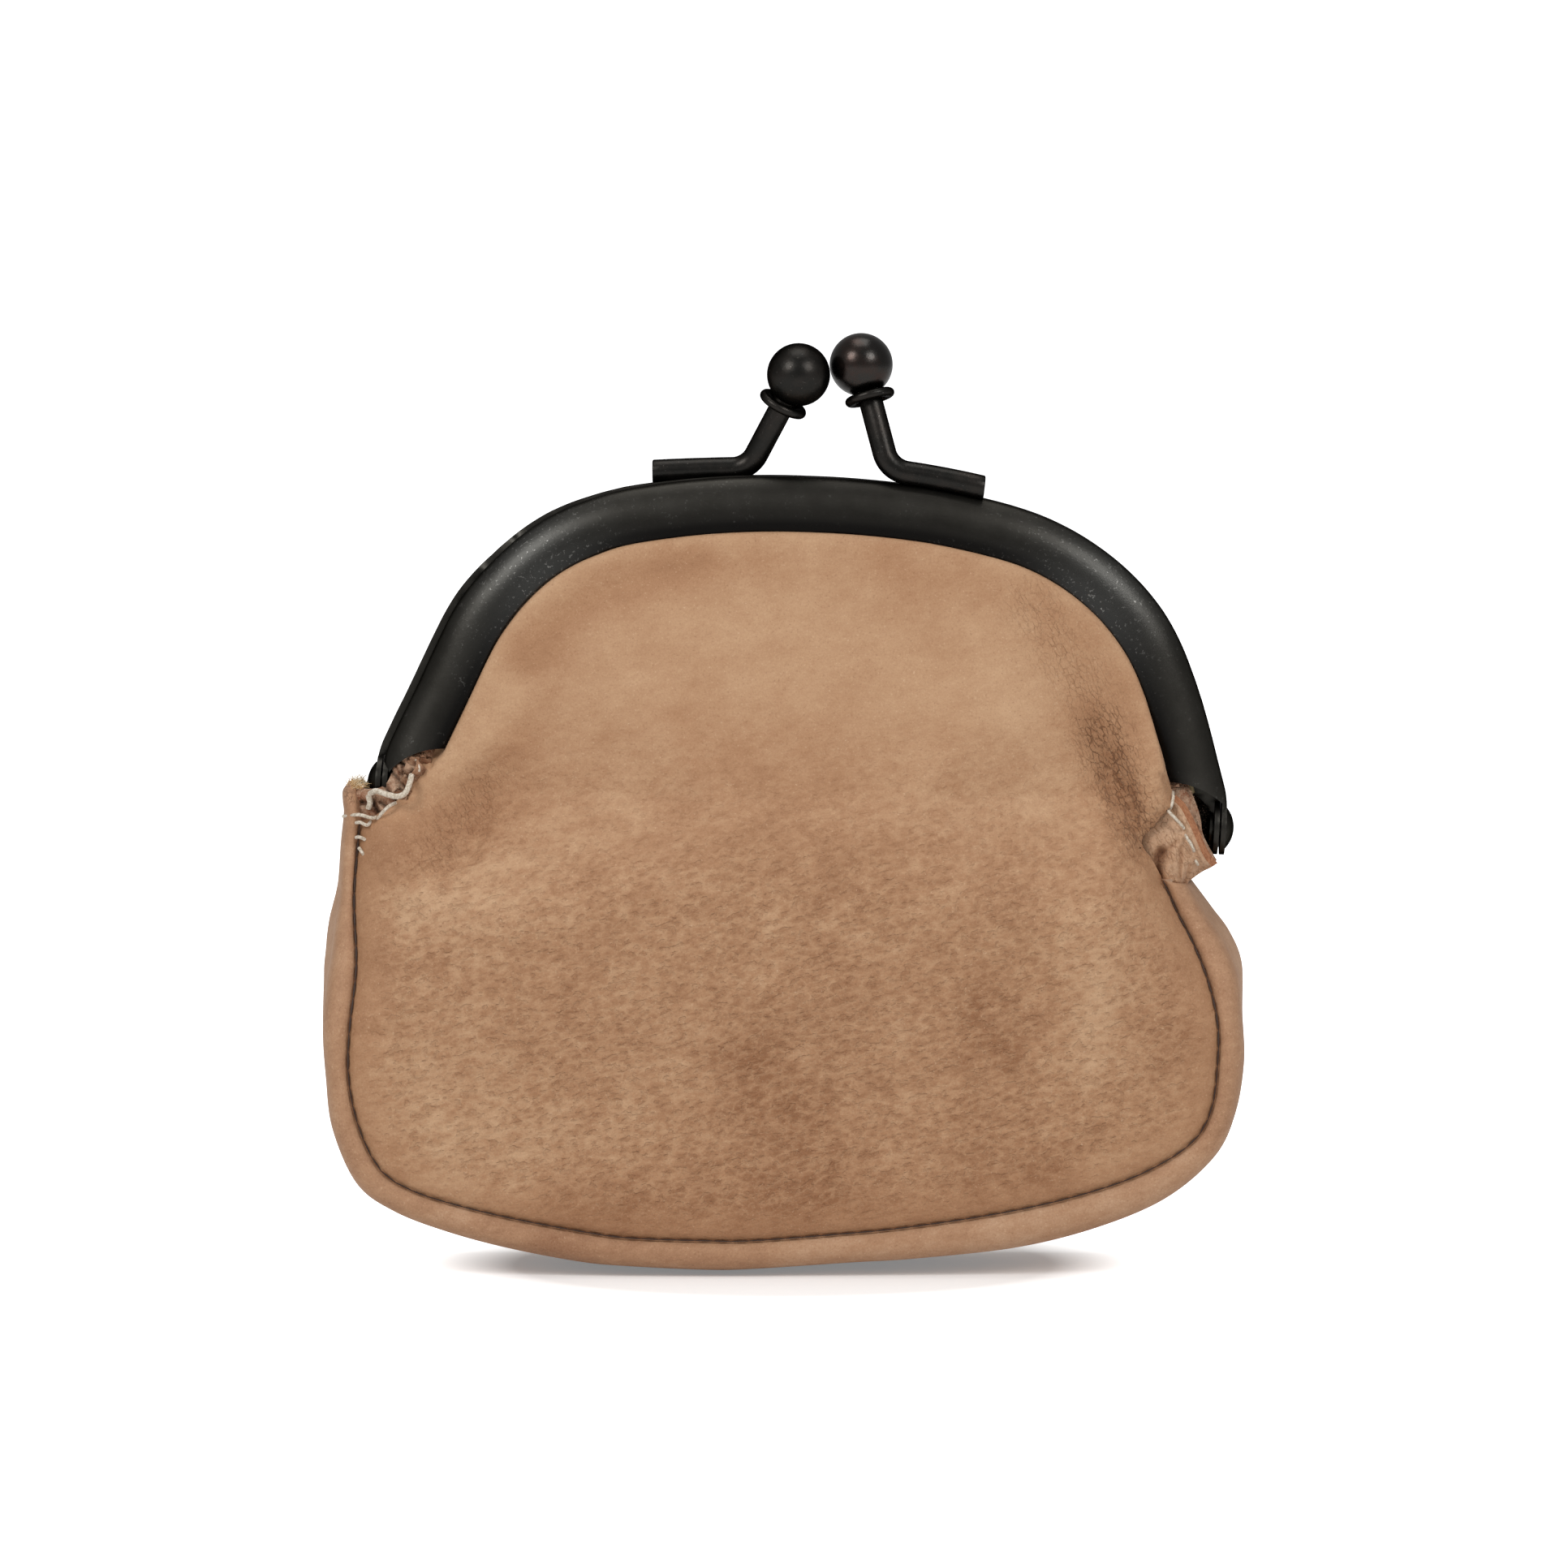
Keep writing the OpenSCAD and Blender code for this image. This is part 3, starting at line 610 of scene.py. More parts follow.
# Front and back panels: each is one piece of soft tan leather, tucked in the channel and sewn to the
# gusset with its edge turned in. It creases where the frame gathers it, and its grain is pebbled.
seam = [(-45.8, 48.9, 5.0), (-46.1, 45.6, 5.2), (-46.4, 41.3, 6.2), (-46.3, 37.9, 7.4),
        (-46.1, 34.9, 8.6), (-46.2, 32.0, 9.5), (-46.8, 27.0, 11.0), (-46.9, 21.9, 11.3),
        (-45.9, 16.7, 11.3), (-43.6, 11.9, 11.3), (-40.2, 9.6, 11.3), (-35.4, 8.0, 11.3),
        (-29.2, 6.5, 11.3), (-21.8, 5.1, 11.3), (-16.8, 4.4, 11.3), (-8.4, 4.1, 11.3), (-3.4, 4.1, 11.3),
        (6.9, 4.9, 11.3), (13.6, 5.6, 11.3), (23.9, 7.2, 11.3), (32.4, 9.2, 11.3), (39.0, 11.6, 11.3),
        (44.1, 14.9, 11.3), (46.1, 18.6, 11.3), (46.7, 23.7, 11.3), (46.7, 27.7, 10.9), (45.7, 32.1, 9.6),
        (44.1, 36.1, 8.1), (42.6, 38.9, 7.2), (40.9, 42.7, 6.8)]
left_edge = [(-45.8, 48.9, 5.0), (-44.8, 49.2, 5.2), (-43.8, 49.8, 5.4), (-42.6, 50.6, 5.5),
             (-41.5, 51.4, 5.4), (-40.8, 52.5, 5.0), (-40.3, 53.6, 4.5), (-39.9, 54.8, 3.8),
             (-39.4, 55.8, 3.0), (-39.2, 56.6, 2.5)]
right_edge = [(40.9, 42.7, 6.8), (39.8, 44.8, 7.0), (38.6, 46.8, 6.9), (39.6, 48.2, 6.4),
              (40.6, 49.4, 5.8), (41.5, 50.3, 5.2), (42.0, 51.3, 4.4), (42.0, 52.0, 3.6),
              (41.9, 52.8, 2.9)]
back_left_edge = [(-45.8, 48.9, 5.0), (-46.1, 50.0, 4.4), (-45.9, 51.4, 4.0), (-45.0, 53.0, 3.6),
                  (-43.9, 54.8, 3.3), (-42.9, 56.2, 2.9)]
back_right_edge = [(40.9, 42.7, 6.8), (43.4, 42.9, 5.8), (46.0, 44.0, 4.8), (47.4, 45.6, 4.2),
                   (47.9, 48.8, 3.8), (47.8, 51.4, 3.5), (46.6, 53.4, 3.0)]


def curve(a, b, c, d, t):
    """A smooth curve from b to c, with neighbours a and d, at the share t of the way."""
    return 0.5 * (2 * b + (c - a) * t + (2 * a - 5 * b + 4 * c - d) * t ** 2
                  + (3 * b - a - 3 * c + d) * t ** 3)


def smooth_line(points, count):
    """Evenly spaced places on a smooth curve through the points."""
    points = np.array(points, float)
    ends = np.vstack([2 * points[0] - points[1], points, 2 * points[-1] - points[-2]])
    fine = []
    for i in range(1, len(ends) - 2):
        t = np.linspace(0, 1, 24, endpoint=False)[:, None]
        a, b, c, d = ends[i - 1:i + 3]
        fine.append(curve(a, b, c, d, t))
    fine = np.vstack(fine + [points[-1:]])
    length = np.concatenate([[0], np.cumsum(np.linalg.norm(np.diff(fine, axis=0), axis=1))])
    at = np.linspace(0, length[-1], count)
    return np.stack([np.interp(at, length, fine[:, k]) for k in range(fine.shape[1])], axis=1)


def distance(x, z, line):
    """Distance of each place from a polyline in the front view, and how far along it lies, 0 to 1."""
    line = np.array(line, float)[:, :2]
    best = np.full(x.shape, 1e9)
    along = np.zeros(x.shape)
    steps = np.linalg.norm(np.diff(line, axis=0), axis=1)
    total, done = steps.sum(), 0.0
    for a, b, step in zip(line[:-1], line[1:], steps):
        d = b - a
        t = np.clip(((x - a[0]) * d[0] + (z - a[1]) * d[1]) / (step ** 2 + 1e-12), 0, 1)
        gap = np.hypot(x - a[0] - t * d[0], z - a[1] - t * d[1])
        near = gap < best
        best = np.where(near, gap, best)
        along = np.where(near, (done + t * step) / total, along)
        done += step
    return best, along


def arch_line(inset, start, end, count):
    """Places along the channel, in from its outer edge, in the front view."""
    places = []
    for turn in np.linspace(start, end, count):
        h = abs(turn)
        ray = heading(h)
        q = (crown_centre + (crown_radius - inset) * ray if h <= crown_angle
             else shoulder_centre + (shoulder_radius - inset) * ray if h <= side_start
             else side_centre + (side_radius - inset) * ray)
        places.append((math.copysign(q[0], turn), q[1]))
    down = 1.2 * np.array([math.cos(leg_heading), -math.sin(leg_heading)])
    places = [places[0] + down * (-1, 1)] + places + [places[-1] + down]
    spots = [front_side @ Vector((u, 0, v)) for u, v in places]
    return np.array([bent(spot.x, spot.z) for spot in spots])


def spread(count, squeeze):
    """0 to 1, closer together towards both ends."""
    t = np.linspace(0, 1, count)
    return t * (1 - squeeze) + squeeze * (0.5 - 0.5 * np.cos(math.pi * t))


def at_share(line, shares):
    """Places on a line, given as shares of its length."""
    line = np.asarray(line)
    length = np.concatenate([[0], np.cumsum(np.linalg.norm(np.diff(line, axis=0), axis=1))])
    at = shares * length[-1]
    return np.stack([np.interp(at, length, line[:, k]) for k in range(line.shape[1])], axis=1)


def patch(bottom, top, left, right, s, t):
    """A surface between four edges, as rows from bottom to top and columns from left to right."""
    b, u = at_share(bottom, s), at_share(top, s)
    l, r = at_share(left, t), at_share(right, t)
    s, t = s[None, :, None], t[:, None, None]
    corners = ((1 - s) * (1 - t) * b[0] + s * (1 - t) * b[-1] + (1 - s) * t * u[0] + s * t * u[-1])
    return (1 - t) * b[None] + t * u[None] + (1 - s) * l[:, None] + s * r[:, None] - corners


def lay(name, places):
    """A grid of leather whose rows and columns are put in their places, given in millimetres."""
    rows, columns = places.shape[:2]
    bpy.ops.object.select_all(action="DESELECT")
    bpy.ops.mesh.primitive_grid_add(x_subdivisions=columns - 1, y_subdivisions=rows - 1, size=2)
    piece = bpy.context.object
    piece.name = name
    flat = np.zeros(rows * columns * 3)
    piece.data.vertices.foreach_get("co", flat)
    flat = flat.reshape(-1, 3)
    i = np.rint((flat[:, 0] + 1) / 2 * (columns - 1)).astype(int)
    j = np.rint((flat[:, 1] + 1) / 2 * (rows - 1)).astype(int)
    piece.data.vertices.foreach_set("co", (places[j, i] * mm).ravel())
    piece.data.update()
    bpy.ops.object.shade_smooth()
    return piece, (j, i)


# Creases: places in the front view, half width, and how far the leather sinks there
creases = [
    ([(-41.8, 41.7), (-40.4, 42.5), (-39.0, 43.6), (-35.5, 44.4), (-34.1, 45.4), (-33.2, 47.1),
      (-31.5, 50.5)], 1.0, 0.75),
    ([(-42.0, 45.0), (-38.0, 47.0), (-34.5, 49.5), (-31.0, 52.5), (-28.5, 57.0)], 3.2, 1.1),
    ([(-40.5, 53.6), (-37.5, 54.6), (-34.0, 57.5), (-31.5, 61.0)], 3.0, -0.9),
    ([(-44.0, 43.5), (-40.0, 46.0)], 3.0, -0.4),
    ([(-46.4, 26.6), (-42.3, 26.4), (-39.0, 28.7), (-35.5, 29.8)], 0.7, 0.28),
    ([(-44.5, 38.0), (-40.0, 39.5), (-35.0, 42.0)], 2.4, 0.35),
    ([(34.2, 57.5), (35.4, 54.5), (36.4, 52.0), (37.4, 49.6), (38.4, 47.0)], 1.5, 1.5),
    ([(33.0, 60.5), (34.0, 57.0)], 1.2, 0.4),
    ([(36.0, 51.4), (37.2, 50.2), (37.9, 49.0), (38.2, 47.2)], 0.3, 0.45),
    ([(37.2, 54.6), (37.6, 51.6), (37.9, 49.2)], 0.35, 0.35),
    ([(34.6, 53.2), (35.4, 51.6), (36.6, 50.6)], 0.3, 0.25),
    ([(40.4, 54.0), (40.2, 51.4), (39.6, 49.8)], 1.7, -0.9),
    ([(36.0, 46.0), (34.2, 42.0), (33.6, 36.0), (33.0, 28.0)], 3.5, -0.55),
    ([(27.5, 38.0), (27.0, 30.0), (26.0, 23.0)], 3.4, 0.45),
    ([(-4.0, 26.5), (1.2, 24.6), (4.6, 19.0), (5.6, 13.0)], 2.8, 0.45),
    ([(-3.0, 33.0), (1.6, 27.6), (3.0, 24.6)], 2.0, -0.35),
    ([(-27.0, 67.5), (-22.0, 72.2), (-16.0, 75.2), (-8.0, 76.6)], 2.2, 0.4),
    ([(-30.0, 62.5), (-25.5, 66.0), (-20.0, 69.5)], 1.5, 0.22),
    ([(20.0, 48.0), (12.0, 45.0), (4.0, 43.6)], 3.5, 0.3),
]
# Tone and painted light: places, half width, and how much lighter or darker the leather is there. Besides
# the leather's own mottled tone, some courses paint shade into creases and highlights along the ridges
# beside them
tones_and_shading = [
    ([(-16, 69), (3, 71), (22, 67)], 9, 0.8), ([(-27, 67), (-20, 73.5), (-9, 76.5)], 2.6, -0.75),
    ([(-42, 50.5), (-39, 53), (-33, 57), (-30, 63)], 2.6, 0.7),
    ([(-43, 46), (-38.5, 46), (-34, 49)], 3.2, -0.85), ([(-32, 52), (-28, 57)], 2.5, -0.5),
    ([(-40, 39.5), (-34, 41), (-30, 46)], 3.0, 0.55), ([(-1, 24), (0, 18), (3, 12)], 5.5, -0.9),
    ([(0, 27), (2.2, 24.6)], 1.6, 0.7), ([(-22, 8.5), (3, 7.5), (28, 11)], 3.4, -0.8),
    ([(24, 25.5), (23, 29)], 4.0, -0.85), ([(34, 39), (33.4, 33), (32.4, 24)], 2.4, 0.6),
    ([(22, 14.5), (34, 17)], 5, -0.4), ([(42.5, 33), (42.5, 24)], 3, -0.45),
    ([(8, 46), (22, 42)], 4.5, -0.4), ([(26, 60), (29, 54)], 4.5, 0.7), ([(-38, 14), (-30, 13)], 4, 0.5),
    ([(-35, 45), (-30, 47)], 3.5, -0.3), ([(-44, 36), (-44, 28)], 2.5, -0.35),
    ([(-26, 33), (-12, 34)], 5, -0.35), ([(-38, 20), (-20, 14)], 5, 0.35),
    ([(33, 60), (36.5, 52), (38, 47)], 2.2, -0.8), ([(12, 60), (22, 50)], 6, 0.35),
    ([(-10, 50), (6, 52)], 8, 0.1), ([(-14, 26), (-10, 22)], 5, 0.3),
]

across_at, up_at = spread(200, 0.45), spread(190, 0.45)
tuck = 3.3
arch = arch_line(tuck, -leg_heading, leg_heading, 90)
slot_depth = 2.05
arch = np.column_stack([arch, np.full(len(arch), slot_depth)])
lower = smooth_line(seam, 400)
corner_left = np.argmin(np.hypot(lower[:, 0] + 43.6, lower[:, 1] - 11.9))
corner_right = np.argmin(np.hypot(lower[:, 0] - 44.1, lower[:, 1] - 14.9))
bottom_side = lower[corner_left:corner_right + 1]
lip = arch_line(channel_width, -leg_heading, leg_heading, 90)


farthest_throw = 5


def held_in(places, edge, outward):
    """Places that a patch throws beyond its free edge are brought back onto that edge."""
    gap, along = distance(places[..., 0], places[..., 1], edge)
    on_edge = at_share(edge[:, :2], along.ravel())
    ahead, before = (at_share(edge[:, :2], np.clip(along.ravel() + step, 0, 1)) for step in (0.01, -0.01))
    off = places[..., :2].reshape(-1, 2) - on_edge
    beyond = outward * ((ahead - before)[:, 0] * off[:, 1] - (ahead - before)[:, 1] * off[:, 0]) > 0
    beyond &= (along.ravel() > 0) & (along.ravel() < 1) & (gap.ravel() < farthest_throw)
    deep = np.interp(along.ravel(), np.linspace(0, 1, len(edge)), edge[:, 2])
    flat = np.where(beyond[:, None], np.column_stack([on_edge, deep]), places.reshape(-1, 3))
    return flat.reshape(places.shape)


def panel_shape(left_free, right_free):
    """A panel's places, and its painted marks, for one course of its two free edges."""
    left_line = smooth_line(left_free + [tuple(arch[0])], 60)
    right_line = smooth_line(right_free + [tuple(arch[-1])], 60)
    left_side = np.vstack([lower[:corner_left + 1][::-1], left_line[1:]])
    right_side = np.vstack([lower[corner_right:], right_line[1:]])
    grid = patch(bottom_side, arch, left_side, right_side, across_at, up_at)
    if left_free is left_edge:
        grid = held_in(held_in(grid, left_line, 1), right_line, -1)
    x, z, depth = grid[..., 0], grid[..., 1], grid[..., 2].copy()
    across = (1 - np.abs(2 * across_at - 1) ** 3.4)[None, :]
    belly = 2.0 * (1 - np.abs(2 * up_at - 1) ** 2.4) + 3.0 * bell(up_at - 0.5, 0.18)
    depth += across * belly[:, None]
    from_lip = distance(x, z, lip)[0]
    from_seam = distance(x, z, lower)[0]
    from_left = distance(x, z, smooth_line(left_free, 40))[0]
    from_right = distance(x, z, smooth_line(right_free, 40))[0]
    from_tuck = distance(x, z, arch[:, :2])[0]
    fade = np.clip((from_tuck - 2.6) / 4, 0, 1) ** 0.8
    # From the channel's lip the leather runs taut and nearly straight to the belly
    taut = slot_depth + 0.27 * from_tuck + 0.45 * np.maximum(0, 52 - z) + 2.4 * bell(from_right, 6)
    blend = np.clip(0.5 + (depth - taut) / 3, 0, 1)
    depth = depth * (1 - blend) + taut * blend - 1.5 * blend * (1 - blend)
    sink = np.zeros(x.shape)
    for line, width, amount in creases:
        gap, along = distance(x, z, line)
        ends = np.clip(np.minimum(along, 1 - along) / 0.25, 0.15, 1) ** 0.7
        sink += amount * bell(gap, width) * ends
    depth -= sink * fade
    # It swells out at once below the lip, and turns in at its sewn and free edges
    below_lip = np.maximum(from_tuck - 2.5, 0)
    depth += 1.1 * (1 - bell(below_lip, 0.5)) * np.exp(-below_lip / 6) * (1 - np.exp(-from_seam / 2))
    depth += 0.5 * (1 - bell(from_seam, 1.2)) * np.exp(-from_seam / 12)
    depth -= 0.4 * bell(from_seam, 0.4)
    depth -= 0.7 * bell(from_left, 0.7) * fade
    depth -= 0.9 * bell(from_right, 0.8) * fade
    # In the channel it lies flat in the slot, and beside it, it leans on the lip itself
    depth = np.where(from_tuck < 2.3, slot_depth, depth)
    nearest = arch[np.argmin(np.hypot(x[..., None] - arch[:, 0], z[..., None] - arch[:, 1]), axis=-1)]
    reach = np.maximum(from_tuck, 0.01)
    lean = 0.5 * bell(from_tuck - 3.1, 0.45) * (from_left > 2) * (from_right > 2)
    x, z = x + lean * (nearest[..., 0] - x) / reach, z + lean * (nearest[..., 1] - z) / reach
    # A painted highlight lightens the leather in a band along the channel's lip
    tone_and_shade = 0.75 * bell(from_lip, 1.3) * (z > 54)
    for line, width, amount in tones_and_shading:
        tone_and_shade += amount * bell(distance(x, z, line)[0], width)
    pebble = np.clip((62 - z) / 22, 0, 1) * np.clip(from_seam / 5, 0.2, 1)
    pebble = pebble * np.clip((from_left + 2) / 12, 0.2, 1)
    wrinkle = bell(distance(x, z, [(34.5, 57.5), (36.5, 52.5), (38.5, 48.5)])[0], 2.6)
    wrinkle += 0.3 * bell(distance(x, z, [(27, 72), (34, 61)])[0], 3.5)
    wrinkle += 0.3 * bell(distance(x, z, [(-33, 52), (-37, 46)])[0], 4)
    # The back panel is seen through the gaps beside the hinges; painted shade darkens it there, where
    # hardly any light gets in
    painted_shade = np.exp(-(np.minimum(from_right, from_left + 2) / 6) ** 4) * (left_free is back_left_edge)
    marks = {"tone_and_shade": tone_and_shade, "pebble": pebble, "wrinkle": wrinkle, "painted_shade": painted_shade}
    return np.stack([x, depth, z], axis=-1), marks


def leather(name, dark, plain, light, grain=1.0):
    """Soft tan leather: drifting tone, pebbled grain with paler veins, pores, specks and creases, with
    painted shade in the creases.
    """
    paint = Paint(name)
    slant = paint.place(turn=(0, math.radians(-14), 0), stretch=(1.4, 1, 0.85))
    even = paint.place()
    drift = paint.noise(even, 55, 3, 0.55)
    blot = paint.noise(slant, 330, 3, 0.55)
    mottle = paint.noise(slant, 1100, 4, 0.62)
    fine = paint.noise(even, 4600, 3, 0.65)
    warp = paint.node("ShaderNodeTexNoise", {}, {"Vector": slant, "Scale": 1300.0, "Detail": 2.0}, "Color")
    swayed = paint.node("ShaderNodeVectorMath", {"operation": "MULTIPLY_ADD"},
                        [warp, (0.0011, 0.0011, 0.0011), slant], "Vector")
    veins = paint.cells(swayed, 1050, "DISTANCE_TO_EDGE")
    pores = paint.cells(even, 2900)
    pit = paint.noise(slant, 1500, 2, 0.5)
    domes = paint.cells(swayed, 1050, "SMOOTH_F1")
    tone_and_shade = paint.mark("tone_and_shade")
    pebble = paint.mark("pebble")
    wrinkle = paint.mark("wrinkle")
    steep = (0, math.radians(62), 0)
    lines = paint.noise(paint.place(turn=steep, stretch=(2.6, 1, 0.5)), 1100, 5, 0.75)
    folds = paint.cells(paint.place(turn=steep, stretch=(1.7, 1, 0.7)), 1700, "DISTANCE_TO_EDGE")
    folds = (1 - folds.above(0.0, 0.12)) * lines.above(0.44, 0.16)
    # The tone mark brings the leather's own tone together with painted light and shade
    level = ((drift - 0.5) * 0.8 + tone_and_shade * 0.34 + (blot - 0.5) * (pebble * 0.45 + 0.4)
             + (mottle - 0.5) * (pebble * 0.45 + 0.35))
    pits = (0.45 - pit).above(0.0, 0.09) * (pebble * 0.8 + 0.12)
    level = level + (fine - 0.5) * 0.55 + (domes - 0.36) * pebble * 0.42
    # Painted shade darkens the fine wrinkle lines and the folds
    level = level - wrinkle * (lines.above(0.52, 0.14) * 0.3)
    level = level - folds * wrinkle * 0.45
    shade = paint.mix(level.above(-0.5, 0.5), dark, plain)
    shade = paint.mix(level.above(0.0, 0.5), shade, light)
    shade = paint.mix(pits * 0.3, shade, dark)
    vein = (1 - veins.above(0.0, 0.2)) * pebble * mottle.above(0.4, 0.12)
    shade = paint.mix(vein * 0.26, shade, light)
    shade = paint.mix(fine.above(0.66, 0.05) * 0.45, shade, rgb(222, 194, 164))
    shade = paint.mix((0.36 - fine).above(0.0, 0.06) * 0.3, shade, rgb(120, 80, 54))
    pore = (0.13 - pores).above(0.0, 0.05) * 0.4 * mottle.above(0.45, 0.1)
    shade = paint.mix(pore, shade, rgb(104, 72, 52))
    height = mottle * (pebble * 0.3 + 0.22) + veins.above(0.0, 0.4) * pebble * 0.2 - domes * pebble * 0.6
    height = height + fine * 0.08 - lines * wrinkle * 0.7 - folds * wrinkle * 0.9 - pits * 0.35
    paint.set(Base_Color=shade, Roughness=0.56 + mottle * 0.12 - tone_and_shade * 0.03,
              Specular_IOR_Level=0.3, Sheen_Weight=0.05, Sheen_Roughness=0.5,
              Normal=paint.bump(height, 0.00031 * grain, 0.8))
    return paint


panel_leather = leather("pebbled tan leather", rgb(149, 104, 71), rgb(177, 133, 98), rgb(202, 163, 127))
raw_leather = Paint("raw leather edge")
cloud = raw_leather.noise(raw_leather.place(), 1500, 4, 0.7)
shade = raw_leather.mix(cloud, rgb(150, 104, 78), rgb(214, 182, 152))
# Painted shade: the cut edge is painted near black where the piece's shade mark is set
shade = raw_leather.mix(raw_leather.mark("painted_shade"), shade, rgb(16, 14, 12))
raw_leather.set(Base_Color=shade, Roughness=0.85,
                Normal=raw_leather.bump(cloud, 0.0002, 0.7))


flesh = Paint("flesh side of the leather")
spot = flesh.place()
cloud, nap = flesh.noise(spot, 1200, 4, 0.7), flesh.noise(spot, 5200, 3, 0.7)
shade = flesh.mix(cloud.above(0.34, 0.34), rgb(132, 90, 66), rgb(188, 146, 116))
# Painted shade: the flesh side is painted near black where the piece's shade mark is set
shade = flesh.mix(flesh.mark("painted_shade"), shade, rgb(16, 14, 12))
flesh.set(Base_Color=flesh.mix(nap.above(0.58, 0.1) * 0.4, shade, rgb(214, 186, 160)), Roughness=0.95,
          Specular_IOR_Level=0.1, Normal=flesh.bump(cloud + nap * 0.6, 0.0004, 0.8))


def thicken(piece, thickness=1.0):
    wall = piece.modifiers.new("leather thickness", "SOLIDIFY")
    wall.thickness = thickness * mm
    wall.offset = -1
    wall.use_even_offset = False
    wall.material_offset_rim = 1
    wall.material_offset = 2
    apply_all(piece)


# Faces that a patch squeezes to nothing along its free edges are left out
smallest_face = 4e-10
for side, sign, free_edges in (("front", -1, (left_edge, right_edge)),
                               ("back", 1, (back_left_edge, back_right_edge))):
    places, marks = panel_shape(*free_edges)
    order = slice(None, None, -sign)
    piece, (j, i) = lay(side + "_leather", (places * (1, sign, 1))[:, order])
    for name, values in marks.items():
        paint_mark(piece, name, values[:, order][j, i])
    edit("DESELECT")
    leave_edit()
    for polygon in piece.data.polygons:
        polygon.select = polygon.area < smallest_face
    bpy.ops.object.mode_set(mode="EDIT")
    bpy.ops.mesh.select_mode(type="FACE")
    bpy.ops.mesh.delete(type="FACE")
    bpy.ops.mesh.select_mode(type="VERT")
    leave_edit()
    dress(piece, panel_leather, raw_leather, flesh)
    thicken(piece)
    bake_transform(piece)
    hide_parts(side + "_flap", side + "_panel")

# Gusset: one strip of the same leather from hinge to hinge. It rolls out of both seams as a welt,
# bulges between them, lies flat under the purse, and is folded in under the right hinge.
crest = [(-47.9, 50.9, 2.4), (-47.9, 46.0, 2.4), (-48.1, 40.9, 3.4), (-48.6, 37.5, 4.0),
         (-49.0, 34.1, 4.9), (-49.4, 31.6, 5.8), (-49.8, 26.6, 7.1), (-49.5, 21.4, 7.3),
         (-48.8, 15.8, 7.3), (-46.2, 9.9, 7.3), (-42.2, 6.9, 7.3), (-36.6, 4.7, 7.3), (-30.0, 2.9, 7.3),
         (-22.2, 1.4, 7.3), (-17.0, 0.9, 7.3), (-8.4, 0.5, 7.3), (-3.2, 0.6, 7.3), (7.4, 1.3, 7.3),
         (14.1, 1.7, 7.3), (25.1, 2.9, 7.3), (33.9, 5.1, 7.3), (41.3, 8.3, 7.3), (46.6, 12.9, 7.3),
         (48.8, 17.6, 7.3), (49.7, 23.1, 7.3), (49.5, 27.6, 6.9), (49.1, 32.4, 5.5), (47.6, 36.0, 4.2),
         (45.9, 38.6, 3.4), (43.6, 42.2, 3.0)]
along_count, across_count = 300, 57
welt = np.array([(-46.2, 52.4, 2.9), (-46.0, 51.2, 3.9), (-45.9, 50.1, 4.7)] + seam)
outer = np.array([(-47.1, 52.7, 1.6), (-47.7, 51.8, 2.0), (-47.7, 50.6, 2.2)] + crest)
outer[3:5] = [(-47.6, 49.3, 2.3), (-47.9, 46.0, 2.4)]
keys = np.linspace(0, len(welt) - 1, along_count)


def through(table, at):
    """Smooth values between the rows of a table."""
    ends = np.vstack([2 * table[0] - table[1], table, 2 * table[-1] - table[-2], table[-1:]])
    i = np.minimum(at.astype(int), len(table) - 2)
    t = (at - i)[:, None]
    a, b, c, d = ends[i], ends[i + 1], ends[i + 2], ends[i + 3]
    return curve(a, b, c, d, t)


root, tip = through(welt, keys), through(outer, keys)
section = np.array([(-0.14, 0.0, 1.3), (0.02, 0.0, 0.62), (0.2, 0.0, -0.1), (0.45, 0.0, -0.15),
                    (0.75, 0.05, 0.2), (0.93, 0.3, 0.6), (1.0, 1.0, 0.0), (1.05, 1.7, 0.0),
                    (1.06, 2.0, 0.0)])
lines = []
for share, to_crest, back in section:
    place = root[:, :2] + share * (tip[:, :2] - root[:, :2])
    if to_crest <= 1:
        deep = root[:, 2] + to_crest * (tip[:, 2] - root[:, 2]) - back
    else:
        deep = tip[:, 2] * (2 - to_crest)
    lines.append(np.column_stack([place, deep]))
lines += [line * (1, 1, -1) for line in lines[-2::-1]]
rings = np.array(lines).transpose(1, 0, 2)
strip = np.array([smooth_line(ring, across_count) for ring in rings])
side = np.sign(strip[..., 0])
behind = np.clip(0.5 - strip[..., 2] / 8, 0, 1)
strip[..., 0] += side * behind * 0.9 * bell(strip[..., 1] - 36, 7)
strip[..., 1] = np.maximum(strip[..., 1], 0.0)
u = np.linspace(0, 1, along_count)[:, None]
v = np.linspace(-1, 1, across_count)[None, :]
places = np.stack([strip[..., 0], -strip[..., 2], strip[..., 1]], axis=-1)
gusset, (j, i) = lay("gusset_leather", places)
ripple = bell(u - 0.02, 0.03) * np.ones(v.shape)
# Across the strip the tone is lighter in its middle and darker towards both seams
paint_mark(gusset, "tone_and_shade", (0.25 * np.cos(v * 3) * np.ones(u.shape))[j, i])
paint_mark(gusset, "pebble", np.full(len(j), 0.12))
paint_mark(gusset, "wrinkle", ripple[j, i])
gusset_leather = leather("smooth tan gusset leather",
                         rgb(144, 100, 71), rgb(183, 141, 108), rgb(212, 177, 146), 0.6)
dress(gusset, gusset_leather, raw_leather, flesh)
thicken(gusset)
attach(gusset, "pouch")
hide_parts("gusset")

